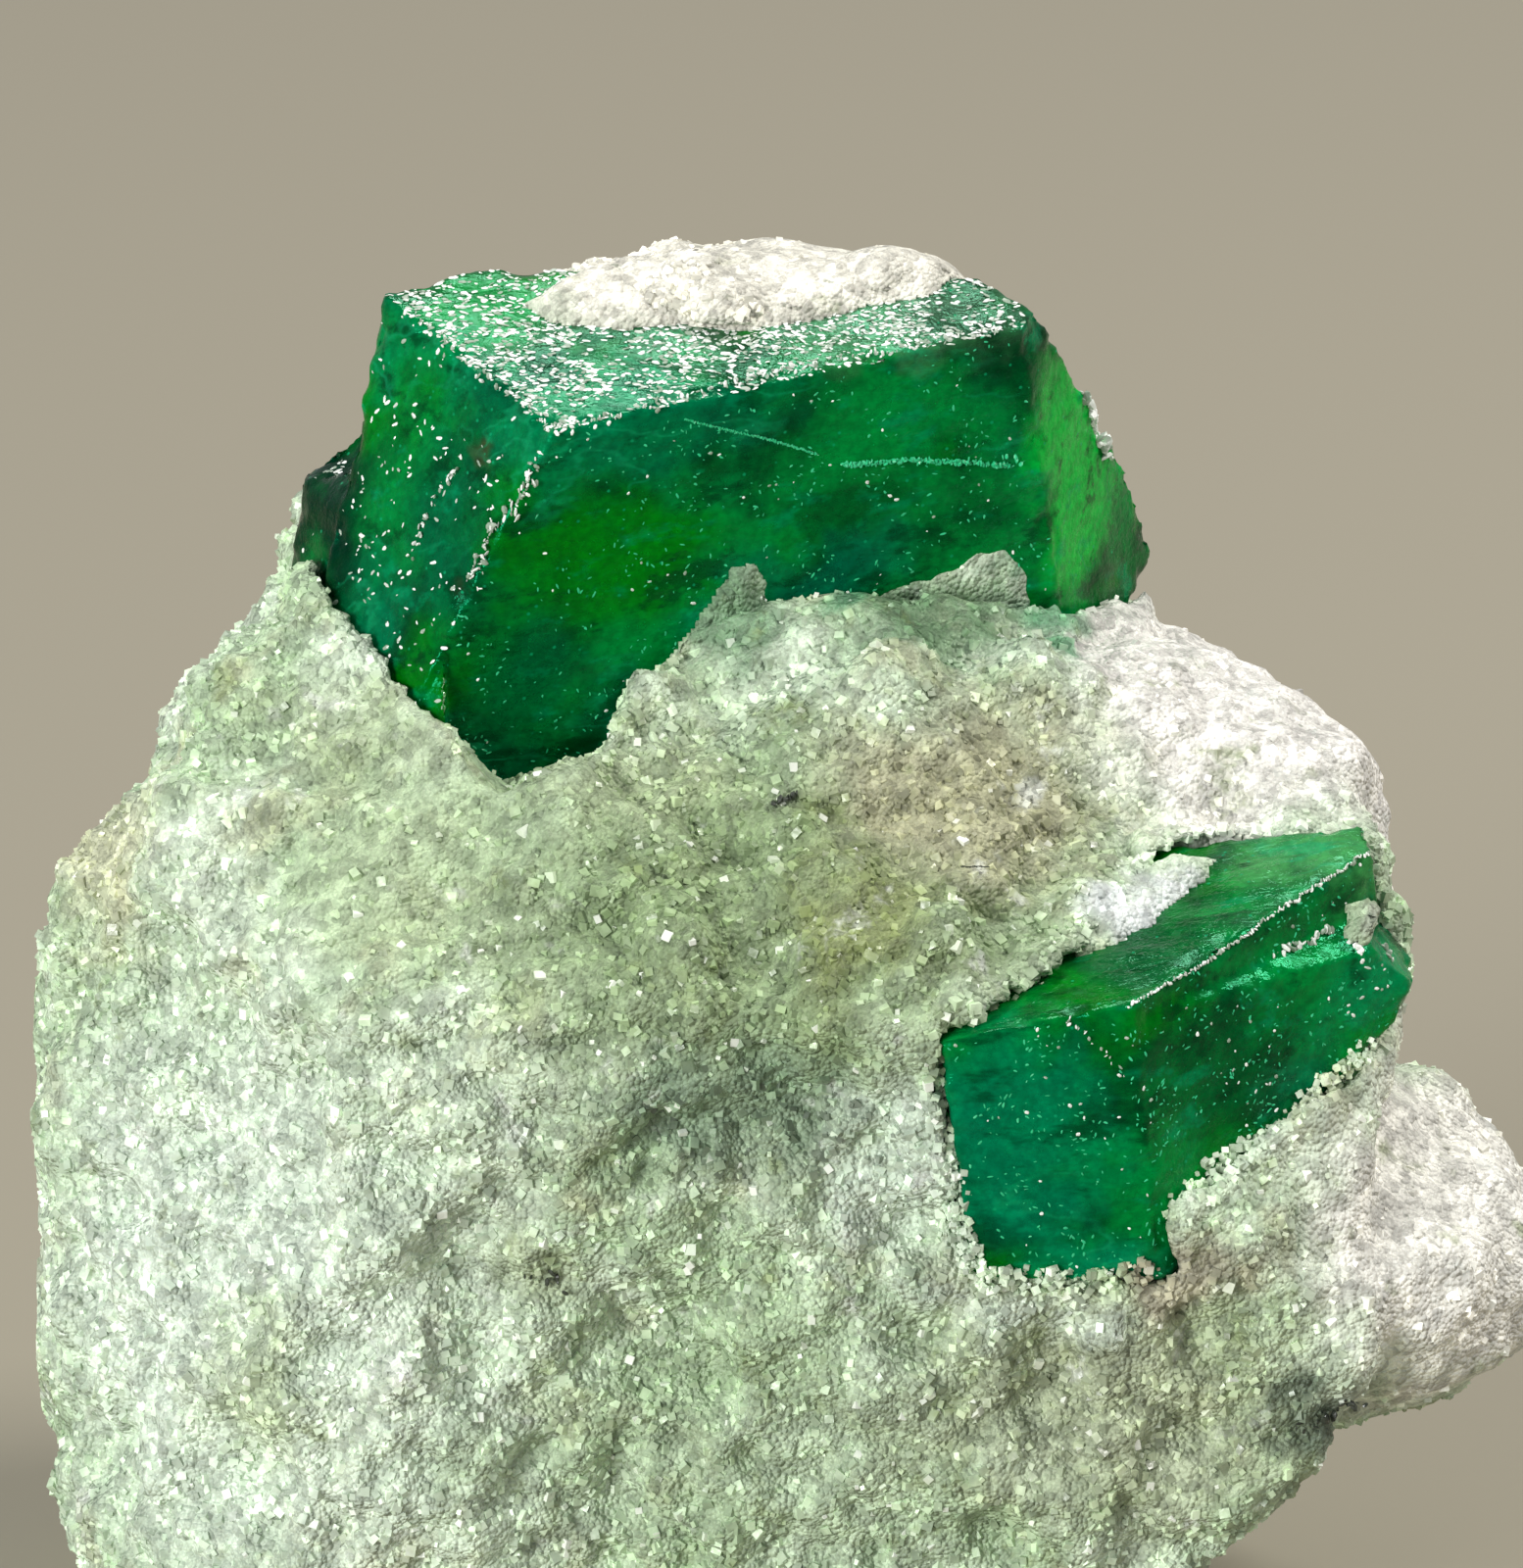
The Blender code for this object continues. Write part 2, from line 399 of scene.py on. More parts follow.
@dataclass(frozen=True)
class RockTints:
    """How the rock's colour changes from place to place."""

    mint: Colour = (0.52, 0.68, 0.44)
    mint_light: Colour = (0.74, 0.87, 0.68)
    beige: Colour = (0.56, 0.59, 0.38)
    olive: Colour = (0.27, 0.34, 0.13)
    chalk: Colour = (0.90, 0.93, 0.88)
    patches: tuple[Patch, ...] = (
        # Lower left: paler mint rock, brightened further as painted light standing in for the light on
        # that flank.
        Patch((-9.0, -4.5, 7.6), (6.0, 7.0, 7.4), (0.84, 0.96, 0.82), 0.9),
        # Middle: darker olive, partly the rock's own colour and partly painted shade.
        Patch((-0.2, -4.8, 13.8), (7.8, 6.0, 5.2), (0.26, 0.36, 0.17), 0.88),
        Patch((3.0, -3.4, 15.9), (3.8, 3.4, 2.2), (0.50, 0.48, 0.31), 0.85),
        Patch((0.9, -6.0, 14.6), (1.9, 2.0, 1.6), (0.25, 0.29, 0.11), 0.8),
        Patch((-2.6, -3.7, 16.1), (2.2, 2.0, 1.5), (0.52, 0.62, 0.38), 0.7),
        # Painted shade: a darker patch in the shallow hollow between the crystals.
        Patch((-1.3, -6.7, 11.8), (3.4, 2.5, 1.7), (0.27, 0.39, 0.26), 0.8),
        Patch((-9.0, -6.6, 6.6), (1.8, 2.0, 2.0), (0.44, 0.55, 0.27), 0.6),
        Patch((-4.1, -7.0, 8.8), (1.3, 1.5, 1.5), (0.36, 0.44, 0.26), 0.7),
        Patch((-0.5, -7.0, 5.6), (6.5, 3.0, 3.6), (0.44, 0.58, 0.36), 0.6),
        Patch((5.2, -7.0, 6.6), (4.4, 3.0, 3.2), (0.42, 0.47, 0.29), 0.75),
        Patch((6.6, -7.0, 8.7), (1.5, 1.5, 1.4), (0.50, 0.42, 0.32), 0.7),
        Patch((8.6, -6.6, 6.0), (1.5, 1.8, 0.8), (0.10, 0.14, 0.10), 0.85),
        Patch((-8.0, -3.0, 16.8), (2.6, 2.4, 1.6), (0.44, 0.54, 0.32), 0.85),
        Patch((-6.4, -4.4, 14.4), (3.2, 3.0, 2.6), (0.50, 0.62, 0.38), 0.7),
        Patch((-11.4, -1.9, 14.4), (1.4, 2.5, 2.4), (0.72, 0.72, 0.50), 0.8),
        Patch((8.0, 1.5, 15.5), (5.6, 5.5, 5.6), (0.98, 0.95, 0.89), 1.0, 0.5),
        Patch((10.8, -3.8, 8.6), (4.4, 4.8, 3.8), (1.0, 0.98, 0.90), 1.0, 0.5),
        Patch((0.4, 2.0, 23.4), (7.0, 4.5, 2.6), (0.98, 0.95, 0.83), 1.0, 0.6),
        Patch((0.0, 7.0, 12.0), (9.0, 4.0, 9.0), (0.72, 0.74, 0.60), 0.6),
        Patch((-1.2, -1.0, 18.2), (1.4, 1.4, 1.5), (0.20, 0.36, 0.20), 0.9),
        Patch((2.2, -0.2, 17.9), (3.2, 1.7, 1.1), (0.18, 0.33, 0.17), 0.9),
        Patch((4.4, 0.8, 17.5), (1.5, 1.4, 0.7), (0.12, 0.46, 0.21), 0.8),
        Patch((1.1, -0.4, 18.5), (1.5, 1.4, 0.5), (0.07, 0.30, 0.14), 0.8),
        Patch((3.6, 0.5, 18.9), (1.0, 1.2, 0.5), (0.14, 0.34, 0.18), 0.7),
        Patch((1.6, -7.3, 10.4), (1.7, 2.0, 3.0), (0.80, 0.92, 0.80), 0.7),
        Patch((3.6, -7.4, 8.0), (2.4, 1.5, 0.8), (0.80, 0.92, 0.80), 0.6),
        Patch((5.8, -4.8, 14.5), (1.3, 1.3, 0.9), (0.86, 0.90, 0.90), 0.9),
        Patch((9.2, -4.4, 14.1), (0.6, 0.8, 0.6), (0.40, 0.44, 0.36), 0.9),
    )

    def colour(self, shader: Shader) -> object:
        """Writes the rock's colour.

        Args:
            shader: the material that it goes into.

        Returns:
            The colour, as a node output.
        """
        clouds = shader.noise(300.0, 4.0, 0.62)
        tint = shader.mixed(
            shader.between(clouds.outputs["Fac"], 0.40, 0.62), self.mint, self.mint_light
        )
        dust = shader.noise(650.0, 3.0, 0.6)
        tint = shader.mixed(
            shader.between(dust.outputs["Fac"], 0.52, 0.70, 0.0, 0.7), tint, self.beige
        )
        tint = patched(shader, tint, self.patches, 1.6)
        clumps = shader.noise(1900.0, 3.0, 0.6)
        value = shader.between(clumps.outputs["Fac"], 0.34, 0.66, 0.76, 1.2)
        tint = shader.mixed(1.0, tint, grey(shader, value), "MULTIPLY")
        moss = shader.noise(900.0, 4.0, 0.65)
        tint = shader.mixed(
            shader.between(moss.outputs["Fac"], 0.58, 0.74, 0.0, 0.65), tint, self.olive
        )
        return shader.mixed(
            shader.between(moss.outputs["Fac"], 0.40, 0.27, 0.0, 0.6), tint, self.chalk
        )


@dataclass(frozen=True)
class SugaryRock:
    """The granular rock: a frosted skin of tiny grains."""

    tints: RockTints = RockTints()
    # Colour of the painted shade in the pores between the grains.
    painted_pore_shade: Colour = (0.16, 0.20, 0.13)
    grains_per_metre: float = 6200.0

    def material(self) -> bpy.types.Material:
        """Returns the rock's material."""
        shader = Shader("sugary_rock")
        tint = self.tints.colour(shader)
        cells = shader.cells(self.grains_per_metre)
        fine = shader.cells(self.grains_per_metre * 1.9)
        speck = shader.noise(2600.0, 3.0, 0.7)
        # Each cell of the skin gets a random tone, darker on the whole than the grains on it: partly
        # random tone, partly painted shade in the gaps between the grains.
        value = shader.between(cells.outputs["Color"], 0.0, 1.0, 0.62, 1.05)
        tint = shader.mixed(1.0, tint, grey(shader, value), "MULTIPLY")
        # Noise lays near-black specks on the skin: painted shade in the pores between the grains.
        dark = shader.between(speck.outputs["Fac"], 0.34, 0.26, 0.0, 0.6)
        tint = shader.mixed(dark, tint, self.painted_pore_shade)
        height = shader.math("ADD", cells.outputs["Distance"], fine.outputs["Distance"])
        relief = shader.bump(shader.math("SUBTRACT", 1.0, height), 0.08, 0.9)
        rough = shader.between(fine.outputs["Distance"], 0.0, 0.8, 0.42, 0.7)
        shader.set(Base_Color=tint, Roughness=rough, Normal=relief, IOR=1.5)
        return shader.material


@dataclass(frozen=True)
class SugarGrain:
    """The loose-looking grains that cover the rock, each a slightly different tone; the palest few are
    painted near-white as glints.
    """

    tints: RockTints = RockTints()
    # Near-white of the painted glints on a few grains.
    painted_glint_white: Colour = (0.96, 0.97, 0.92)
    crisp: tuple[Patch, ...] = (
        Patch((-0.8, -6.5, 11.6), (4.2, 3.0, 2.8), (0.30,) * 3),
        Patch((3.4, -3.0, 15.9), (3.4, 3.4, 2.4), (0.45,) * 3),
        Patch((5.0, -7.0, 7.0), (5.0, 3.5, 3.6), (0.5,) * 3),
    )

    def material(self) -> bpy.types.Material:
        """Returns the grains' material."""
        shader = Shader("sugar_grain")
        tint = self.tints.colour(shader)
        tone = shader.node("ShaderNodeAttribute", attribute_name=TONE).outputs["Fac"]
        lowest = patched(shader, (0.68,) * 3, self.crisp, 1.2)
        value = shader.between(tone, 0.0, 0.9, lowest, 1.22)
        tint = shader.mixed(1.0, tint, grey(shader, value), "MULTIPLY")
        # The few grains of highest tone turn near-white: painted glints.
        pale = shader.between(tone, 0.93, 1.0, 0.0, 0.8)
        tint = shader.mixed(pale, tint, self.painted_glint_white)
        frost = shader.noise(9000.0, 2.0, 0.5)
        rough = shader.between(frost.outputs["Fac"], 0.3, 0.7, 0.15, 0.55)
        relief = shader.bump(frost.outputs["Fac"], 0.02, 0.5)
        shader.set(Base_Color=tint, Roughness=rough, Normal=relief, IOR=1.52)
        return shader.material


@dataclass(frozen=True)
class EmeraldGlass:
    """Clear green beryl, zoned, clouded and veined by its inclusions."""

    name: str
    tint_patches: tuple[Patch, ...] = ()
    deep: Colour = (0.0, 0.06, 0.014)
    bright: Colour = (0.0, 0.38, 0.06)
    leaf: Colour = (0.0, 0.34, 0.0)
    sea: Colour = (0.0, 0.30, 0.13)
    thread: Colour = (0.0, 0.50, 0.20)
    shade: Colour = (0.0, 0.045, 0.01)
    wisp: Colour = (0.01, 0.50, 0.20)
    sparkle: Colour = (0.01, 0.60, 0.25)
    gleam: Colour = (0.02, 0.80, 0.40)
    absorbs: Colour = (0.0, 0.82, 0.34)
    density: float = 170.0
    clearness: float = 0.5

    def material(self) -> bpy.types.Material:
        """Returns the crystal's material."""
        shader = Shader(self.name)
        tint = self._tint(shader)
        frost = shader.noise(2400.0, 4.0, 0.6)
        rough = shader.between(frost.outputs["Fac"], 0.40, 0.68, 0.06, 0.32)
        lines = shader.noise(6400.0, 3.0, 0.65, self._along(shader))
        grain = shader.noise(15000.0, 2.0, 0.5)
        faint = shader.math("MULTIPLY", grain.outputs["Fac"], 0.4)
        height = shader.math("ADD", lines.outputs["Fac"], faint)
        shader.set(Base_Color=tint, Roughness=rough, Normal=shader.bump(height, 0.05, 0.45))
        shader.set(Transmission_Weight=self.clearness, IOR=1.58, Specular_IOR_Level=0.08)
        shader.set(Specular_Tint=self.gleam)
        absorb = shader.node("ShaderNodeVolumeAbsorption")
        absorb.inputs["Color"].default_value = (*self.absorbs, 1.0)
        absorb.inputs["Density"].default_value = self.density
        shader.tree.links.new(absorb.outputs[0], shader.output.inputs["Volume"])
        return shader.material

    @staticmethod
    def _along(shader: Shader) -> object:
        """Returns coordinates drawn out along the growth lines."""
        drawn = shader.node("ShaderNodeMapping")
        shader.feed(drawn.inputs["Vector"], shader.place)
        drawn.inputs["Scale"].default_value = (0.35, 1.0, 1.0)
        drawn.inputs["Rotation"].default_value = (0.0, -0.35, 0.3)
        return drawn.outputs[0]

    def _tint(self, shader: Shader) -> object:
        """Writes the green: cloudy zoning, then patches of other tints, on the large crystal some of them
        painted light and shade, then threads, then fine grain and bright specks.

        Args:
            shader: the material that it goes into.

        Returns:
            The colour, as a node output.
        """
        clouds = shader.noise(420.0, 4.0, 0.58)
        tint = shader.mixed(
            shader.between(clouds.outputs["Fac"], 0.37, 0.61), self.deep, self.bright
        )
        warm = shader.noise(310.0, 3.0, 0.5)
        tint = shader.mixed(
            shader.between(warm.outputs["Fac"], 0.52, 0.64, 0.0, 0.7), tint, self.leaf
        )
        cool = shader.noise(270.0, 3.0, 0.5)
        tint = shader.mixed(
            shader.between(cool.outputs["Fac"], 0.53, 0.66, 0.0, 0.7), tint, self.sea
        )
        # The patches bring the crystal's own zoning and, on the large crystal, some painted light and
        # shade.
        tint = patched(shader, tint, self.tint_patches, 1.6)
        threads = shader.noise(1500.0, 4.0, 0.62, self._along(shader))
        tint = shader.mixed(
            shader.between(threads.outputs["Fac"], 0.56, 0.70, 0.0, 0.5), tint, self.thread
        )
        tint = shader.mixed(
            shader.between(threads.outputs["Fac"], 0.46, 0.34, 0.0, 0.7), tint, self.shade
        )
        drift = shader.noise(1000.0, 3.0, 0.5, self._along(shader))
        wisp = shader.math("ABSOLUTE", shader.math("SUBTRACT", drift.outputs["Fac"], 0.5))
        patchy = shader.between(cool.outputs["Fac"], 0.50, 0.62, 0.0, 0.5)
        thin = shader.math("MULTIPLY", shader.between(wisp, 0.03, 0.0), patchy)
        tint = shader.mixed(thin, tint, self.wisp)
        fine = shader.noise(6000.0, 3.0, 0.6)
        light = shader.between(fine.outputs["Fac"], 0.30, 0.72, 0.80, 1.22)
        tint = shader.mixed(1.0, tint, grey(shader, light), "MULTIPLY")
        specks = shader.cells(3200.0)
        sparkle = shader.between(specks.outputs["Distance"], 0.13, 0.05, 0.0, 0.7)
        return shader.mixed(sparkle, tint, self.sparkle)


@dataclass(frozen=True)
class MicaFlake:
    """Bright scales of pale mica on the crystals' faces, some of them dull."""

    tint: Colour = (0.95, 0.97, 0.93)
    dull: Colour = (0.24, 0.34, 0.24)

    def material(self) -> bpy.types.Material:
        """Returns the flakes' material."""
        shader = Shader("mica_flake")
        patches = shader.noise(5200.0, 2.0, 0.5)
        tone = shader.node("ShaderNodeAttribute", attribute_name=TONE).outputs["Fac"]
        dull = shader.math("MULTIPLY", shader.between(tone, 0.68, 0.1), 0.9)
        tint = shader.mixed(dull, self.tint, self.dull)
        rough = shader.between(patches.outputs["Fac"], 0.3, 0.7, 0.12, 0.35)
        relief = shader.bump(patches.outputs["Fac"], 0.01, 0.4)
        shader.set(Base_Color=tint, Roughness=rough, Normal=relief, IOR=1.6)
        return shader.material


@dataclass(frozen=True)
class DarkMineral:
    """Near-black grains of another mineral caught in the rock."""

    tint: Colour = (0.012, 0.016, 0.014)
    worn: Colour = (0.06, 0.07, 0.05)

    def material(self) -> bpy.types.Material:
        """Returns the dark grains' material."""
        shader = Shader("dark_mineral")
        patches = shader.noise(6000.0, 2.0, 0.5)
        tint = shader.mixed(patches.outputs["Fac"], self.tint, self.worn)
        rough = shader.between(patches.outputs["Fac"], 0.3, 0.7, 0.2, 0.5)
        relief = shader.bump(patches.outputs["Fac"], 0.01, 0.4)
        shader.set(Base_Color=tint, Roughness=rough, Normal=relief)
        return shader.material


@dataclass(frozen=True)
class InnerFleck:
    """Pale green flecks of trapped mineral inside the crystals."""

    tint: Colour = (0.0, 0.46, 0.18)
    bright: Colour = (0.05, 0.58, 0.28)

    def material(self) -> bpy.types.Material:
        """Returns the flecks' material."""
        shader = Shader("inner_fleck")
        patches = shader.noise(3600.0, 3.0, 0.6)
        tint = shader.mixed(patches.outputs["Fac"], self.tint, self.bright)
        rough = shader.between(patches.outputs["Fac"], 0.3, 0.7, 0.25, 0.5)
        relief = shader.bump(patches.outputs["Fac"], 0.01, 0.4)
        shader.set(Base_Color=tint, Roughness=rough, Normal=relief)
        return shader.material


# ------------------------------------------------------------------ geometry nodes


class ShapeTree:
    """Writes a node tree that sets one small shape at many places."""

    def __init__(self, name: str, inputs: tuple[str, ...]) -> None:
        """Starts the tree with its named inputs and its result.

        Args:
            name: the tree's name.
            inputs: the names of its numbers, besides the geometry and the seed.
        """
        self.tree = bpy.data.node_groups.new(name, "GeometryNodeTree")
        face = self.tree.interface
        face.new_socket("Geometry", in_out="INPUT", socket_type="NodeSocketGeometry")
        for label in inputs:
            face.new_socket(label, in_out="INPUT", socket_type="NodeSocketFloat")
        face.new_socket("Seed", in_out="INPUT", socket_type="NodeSocketInt")
        face.new_socket("Geometry", in_out="OUTPUT", socket_type="NodeSocketGeometry")
        self.add, self.link = self.tree.nodes.new, self.tree.links.new
        self.source, self.result = self.add("NodeGroupInput"), self.add("NodeGroupOutput")
        self.place = self.add("GeometryNodeInstanceOnPoints")

    def chance(self, kind: str, salt: int) -> bpy.types.Node:
        """Adds a random value that follows the tree's seed.

        Args:
            kind: the value's type.
            salt: a number that keeps this value unlike the others.

        Returns:
            The random value's node.
        """
        made = self.add("FunctionNodeRandomValue")
        made.data_type = kind
        own = self.add("ShaderNodeMath")
        own.operation = "ADD"
        own.inputs[1].default_value = salt
        self.link(self.source.outputs["Seed"], own.inputs[0])
        self.link(own.outputs[0], made.inputs["Seed"])
        return made

    def spread(self, salt: int, low: Point, high: Point) -> bpy.types.NodeSocket:
        """Returns a random vector between two others."""
        made = self.chance("FLOAT_VECTOR", salt)
        made.inputs[0].default_value, made.inputs[1].default_value = low, high
        return made.outputs[0]

    def size(self, salt: int) -> bpy.types.NodeSocket:
        """Returns a random size between the tree's smallest and largest."""
        made = self.chance("FLOAT", salt)
        self.link(self.source.outputs["Smallest"], made.inputs[2])
        self.link(self.source.outputs["Largest"], made.inputs[3])
        return made.outputs[1]

    def scaled(self, vector: object, share: bpy.types.NodeSocket) -> bpy.types.NodeSocket:
        """Returns a vector drawn out by a number."""
        made = self.add("ShaderNodeVectorMath")
        made.operation = "SCALE"
        if isinstance(vector, tuple):
            made.inputs[0].default_value = vector
        else:
            self.link(vector, made.inputs[0])
        self.link(share, made.inputs["Scale"])
        return made.outputs[0]

    def shape(self, blocks: bool) -> None:
        """Sets the shape: a block, or else a small ball of twenty facets."""
        made = self.add("GeometryNodeMeshCube" if blocks else "GeometryNodeMeshIcoSphere")
        if blocks:
            made.inputs["Size"].default_value = (1.0, 1.0, 1.0)
        else:
            made.inputs["Radius"].default_value = 0.5
            made.inputs["Subdivisions"].default_value = 1
        self.link(made.outputs["Mesh"], self.place.inputs["Instance"])

    def moved(self, points: bpy.types.NodeSocket, offset: bpy.types.NodeSocket) -> None:
        """Moves the places by an offset and sets the shapes there."""
        made = self.add("GeometryNodeSetPosition")
        self.link(points, made.inputs["Geometry"])
        self.link(offset, made.inputs["Offset"])
        self.link(made.outputs[0], self.place.inputs["Points"])

    def ended(self, salt: int, finish: bpy.types.Material) -> bpy.types.NodeTree:
        """Gives each shape a tone, then makes them real and sets their material.

        Args:
            salt: the tone's own number.
            finish: the shapes' material.

        Returns:
            The finished tree.
        """
        tone = self.add("GeometryNodeStoreNamedAttribute")
        tone.data_type, tone.domain = "FLOAT", "INSTANCE"
        tone.inputs["Name"].default_value = TONE
        self.link(self.place.outputs["Instances"], tone.inputs["Geometry"])
        self.link(self.chance("FLOAT", salt).outputs[1], tone.inputs["Value"])
        real = self.add("GeometryNodeRealizeInstances")
        self.link(tone.outputs[0], real.inputs[0])
        coat = self.add("GeometryNodeSetMaterial")
        self.link(real.outputs[0], coat.inputs["Geometry"])
        coat.inputs["Material"].default_value = finish
        self.link(coat.outputs[0], self.result.inputs[0])
        return self.tree


def grown(
    ground: bpy.types.Mesh, tree: bpy.types.NodeTree, values: dict[str, float | int]
) -> bpy.types.Mesh:
    """Runs a node tree over a ground.

    Args:
        ground: the surface or line that it starts from.
        tree: the tree.
        values: its named inputs.

    Returns:
        The result as a plain mesh.
    """
    carrier = bpy.data.objects.new("ground", ground)
    bpy.context.scene.collection.objects.link(carrier)
    step = carrier.modifiers.new("rule", "NODES")
    step.node_group = tree
    for item in tree.interface.items_tree:
        if item.in_out == "INPUT" and item.name in values:
            step[item.identifier] = values[item.name]
    return baked(carrier)


@dataclass(frozen=True)
class Scatter:
    """A rule that strews one small shape over a surface."""

    name: str
    per_mm2: float
    smallest: float
    largest: float
    stretch: Point = (1.0, 1.0, 1.0)
    sunk: float = 0.15
    seed: int = 1
    mask: str = "sugar"
    flat_on_face: bool = False
    tilt: float = 0.3
    swing: float = math.pi
    blocks: bool = False

    def tree(self, finish: bpy.types.Material) -> bpy.types.NodeTree:
        """Writes the node tree.

        Args:
            finish: the material of the shapes it strews.

        Returns:
            The tree, which ends in realised shapes with their material.
        """
        rule = ShapeTree(self.name, ("Density", "Smallest", "Largest", "Sunk"))
        add, link, source = rule.add, rule.link, rule.source
        mask = add("GeometryNodeInputNamedAttribute")
        mask.inputs["Name"].default_value = self.mask
        dense = add("ShaderNodeMath")
        dense.operation = "MULTIPLY"
        link(source.outputs["Density"], dense.inputs[0])
        link(mask.outputs["Attribute"], dense.inputs[1])
        strewn = add("GeometryNodeDistributePointsOnFaces")
        link(source.outputs["Geometry"], strewn.inputs["Mesh"])
        link(dense.outputs[0], strewn.inputs["Density"])
        link(source.outputs["Seed"], strewn.inputs["Seed"])
        rule.moved(
            strewn.outputs["Points"],
            rule.scaled(strewn.outputs["Normal"], source.outputs["Sunk"]),
        )
        rule.shape(self.blocks)
        reach = (self.tilt, self.tilt, self.swing) if self.flat_on_face else (math.pi,) * 3
        spin = rule.spread(7, tuple(-r for r in reach), reach)
        if self.flat_on_face:
            spin = self._laid_flat(rule, strewn.outputs["Normal"], spin)
        link(spin, rule.place.inputs["Rotation"])
        uneven = rule.spread(
            11, tuple(0.75 * s for s in self.stretch), tuple(1.2 * s for s in self.stretch)
        )
        link(rule.scaled(uneven, rule.size(3)), rule.place.inputs["Scale"])
        return rule.ended(17, finish)

    @staticmethod
    def _laid_flat(
        rule: ShapeTree, normal: bpy.types.NodeSocket, spin: bpy.types.NodeSocket
    ) -> bpy.types.NodeSocket:
        """Lays the shapes flat on the surface and then turns each a little.

        Args:
            rule: the tree being written.
            normal: the surface's direction.
            spin: the turn of each shape.

        Returns:
            The shapes' rotation.
        """
        turn = rule.add("FunctionNodeRotateRotation")
        turn.rotation_space = "LOCAL"
        upright = rule.add("FunctionNodeAlignRotationToVector")
        upright.axis = "Z"
        rule.link(normal, upright.inputs["Vector"])
        rule.link(upright.outputs[0], turn.inputs[0])
        euler = rule.add("FunctionNodeEulerToRotation")
        rule.link(spin, euler.inputs[0])
        rule.link(euler.outputs[0], turn.inputs[1])
        return turn.outputs[0]

    def strew(self, ground: bpy.types.Mesh, finish: bpy.types.Material) -> bpy.types.Mesh:
        """Strews the shapes over a ground.

        Args:
            ground: the surface, in millimetres, with the mask as a point attribute.
            finish: the shapes' material.

        Returns:
            The shapes as one mesh, in millimetres.
        """
        values = {
            "Density": self.per_mm2,
            "Smallest": self.smallest,
            "Largest": self.largest,
            "Sunk": -self.sunk * self.largest,
            "Seed": self.seed,
        }
        return grown(ground, self.tree(finish), values)


def with_mask(mesh: bpy.types.Mesh, name: str, values: np.ndarray) -> bpy.types.Mesh:
    """Gives a mesh a number at each vertex under this name, and returns the mesh."""
    held = mesh.attributes.get(name) or mesh.attributes.new(name, "FLOAT", "POINT")
    held.data.foreach_set("value", values.astype(np.float32))
    return mesh


# ------------------------------------------------------------------ the pieces


@dataclass(frozen=True)
class Bare:
    """A place where the rock is worn smooth and few grains lie."""

    centre: Point
    reach: float
    share: float
    relief: float = 1.0

    def cover(self, rows: np.ndarray) -> np.ndarray:
        """Returns how far inside the place each row is, from 0 at its rim to 1."""
        away = np.linalg.norm(rows - np.array(self.centre), axis=1) / self.reach
        return np.clip(2.2 - 2.2 * away, 0.0, 1.0)


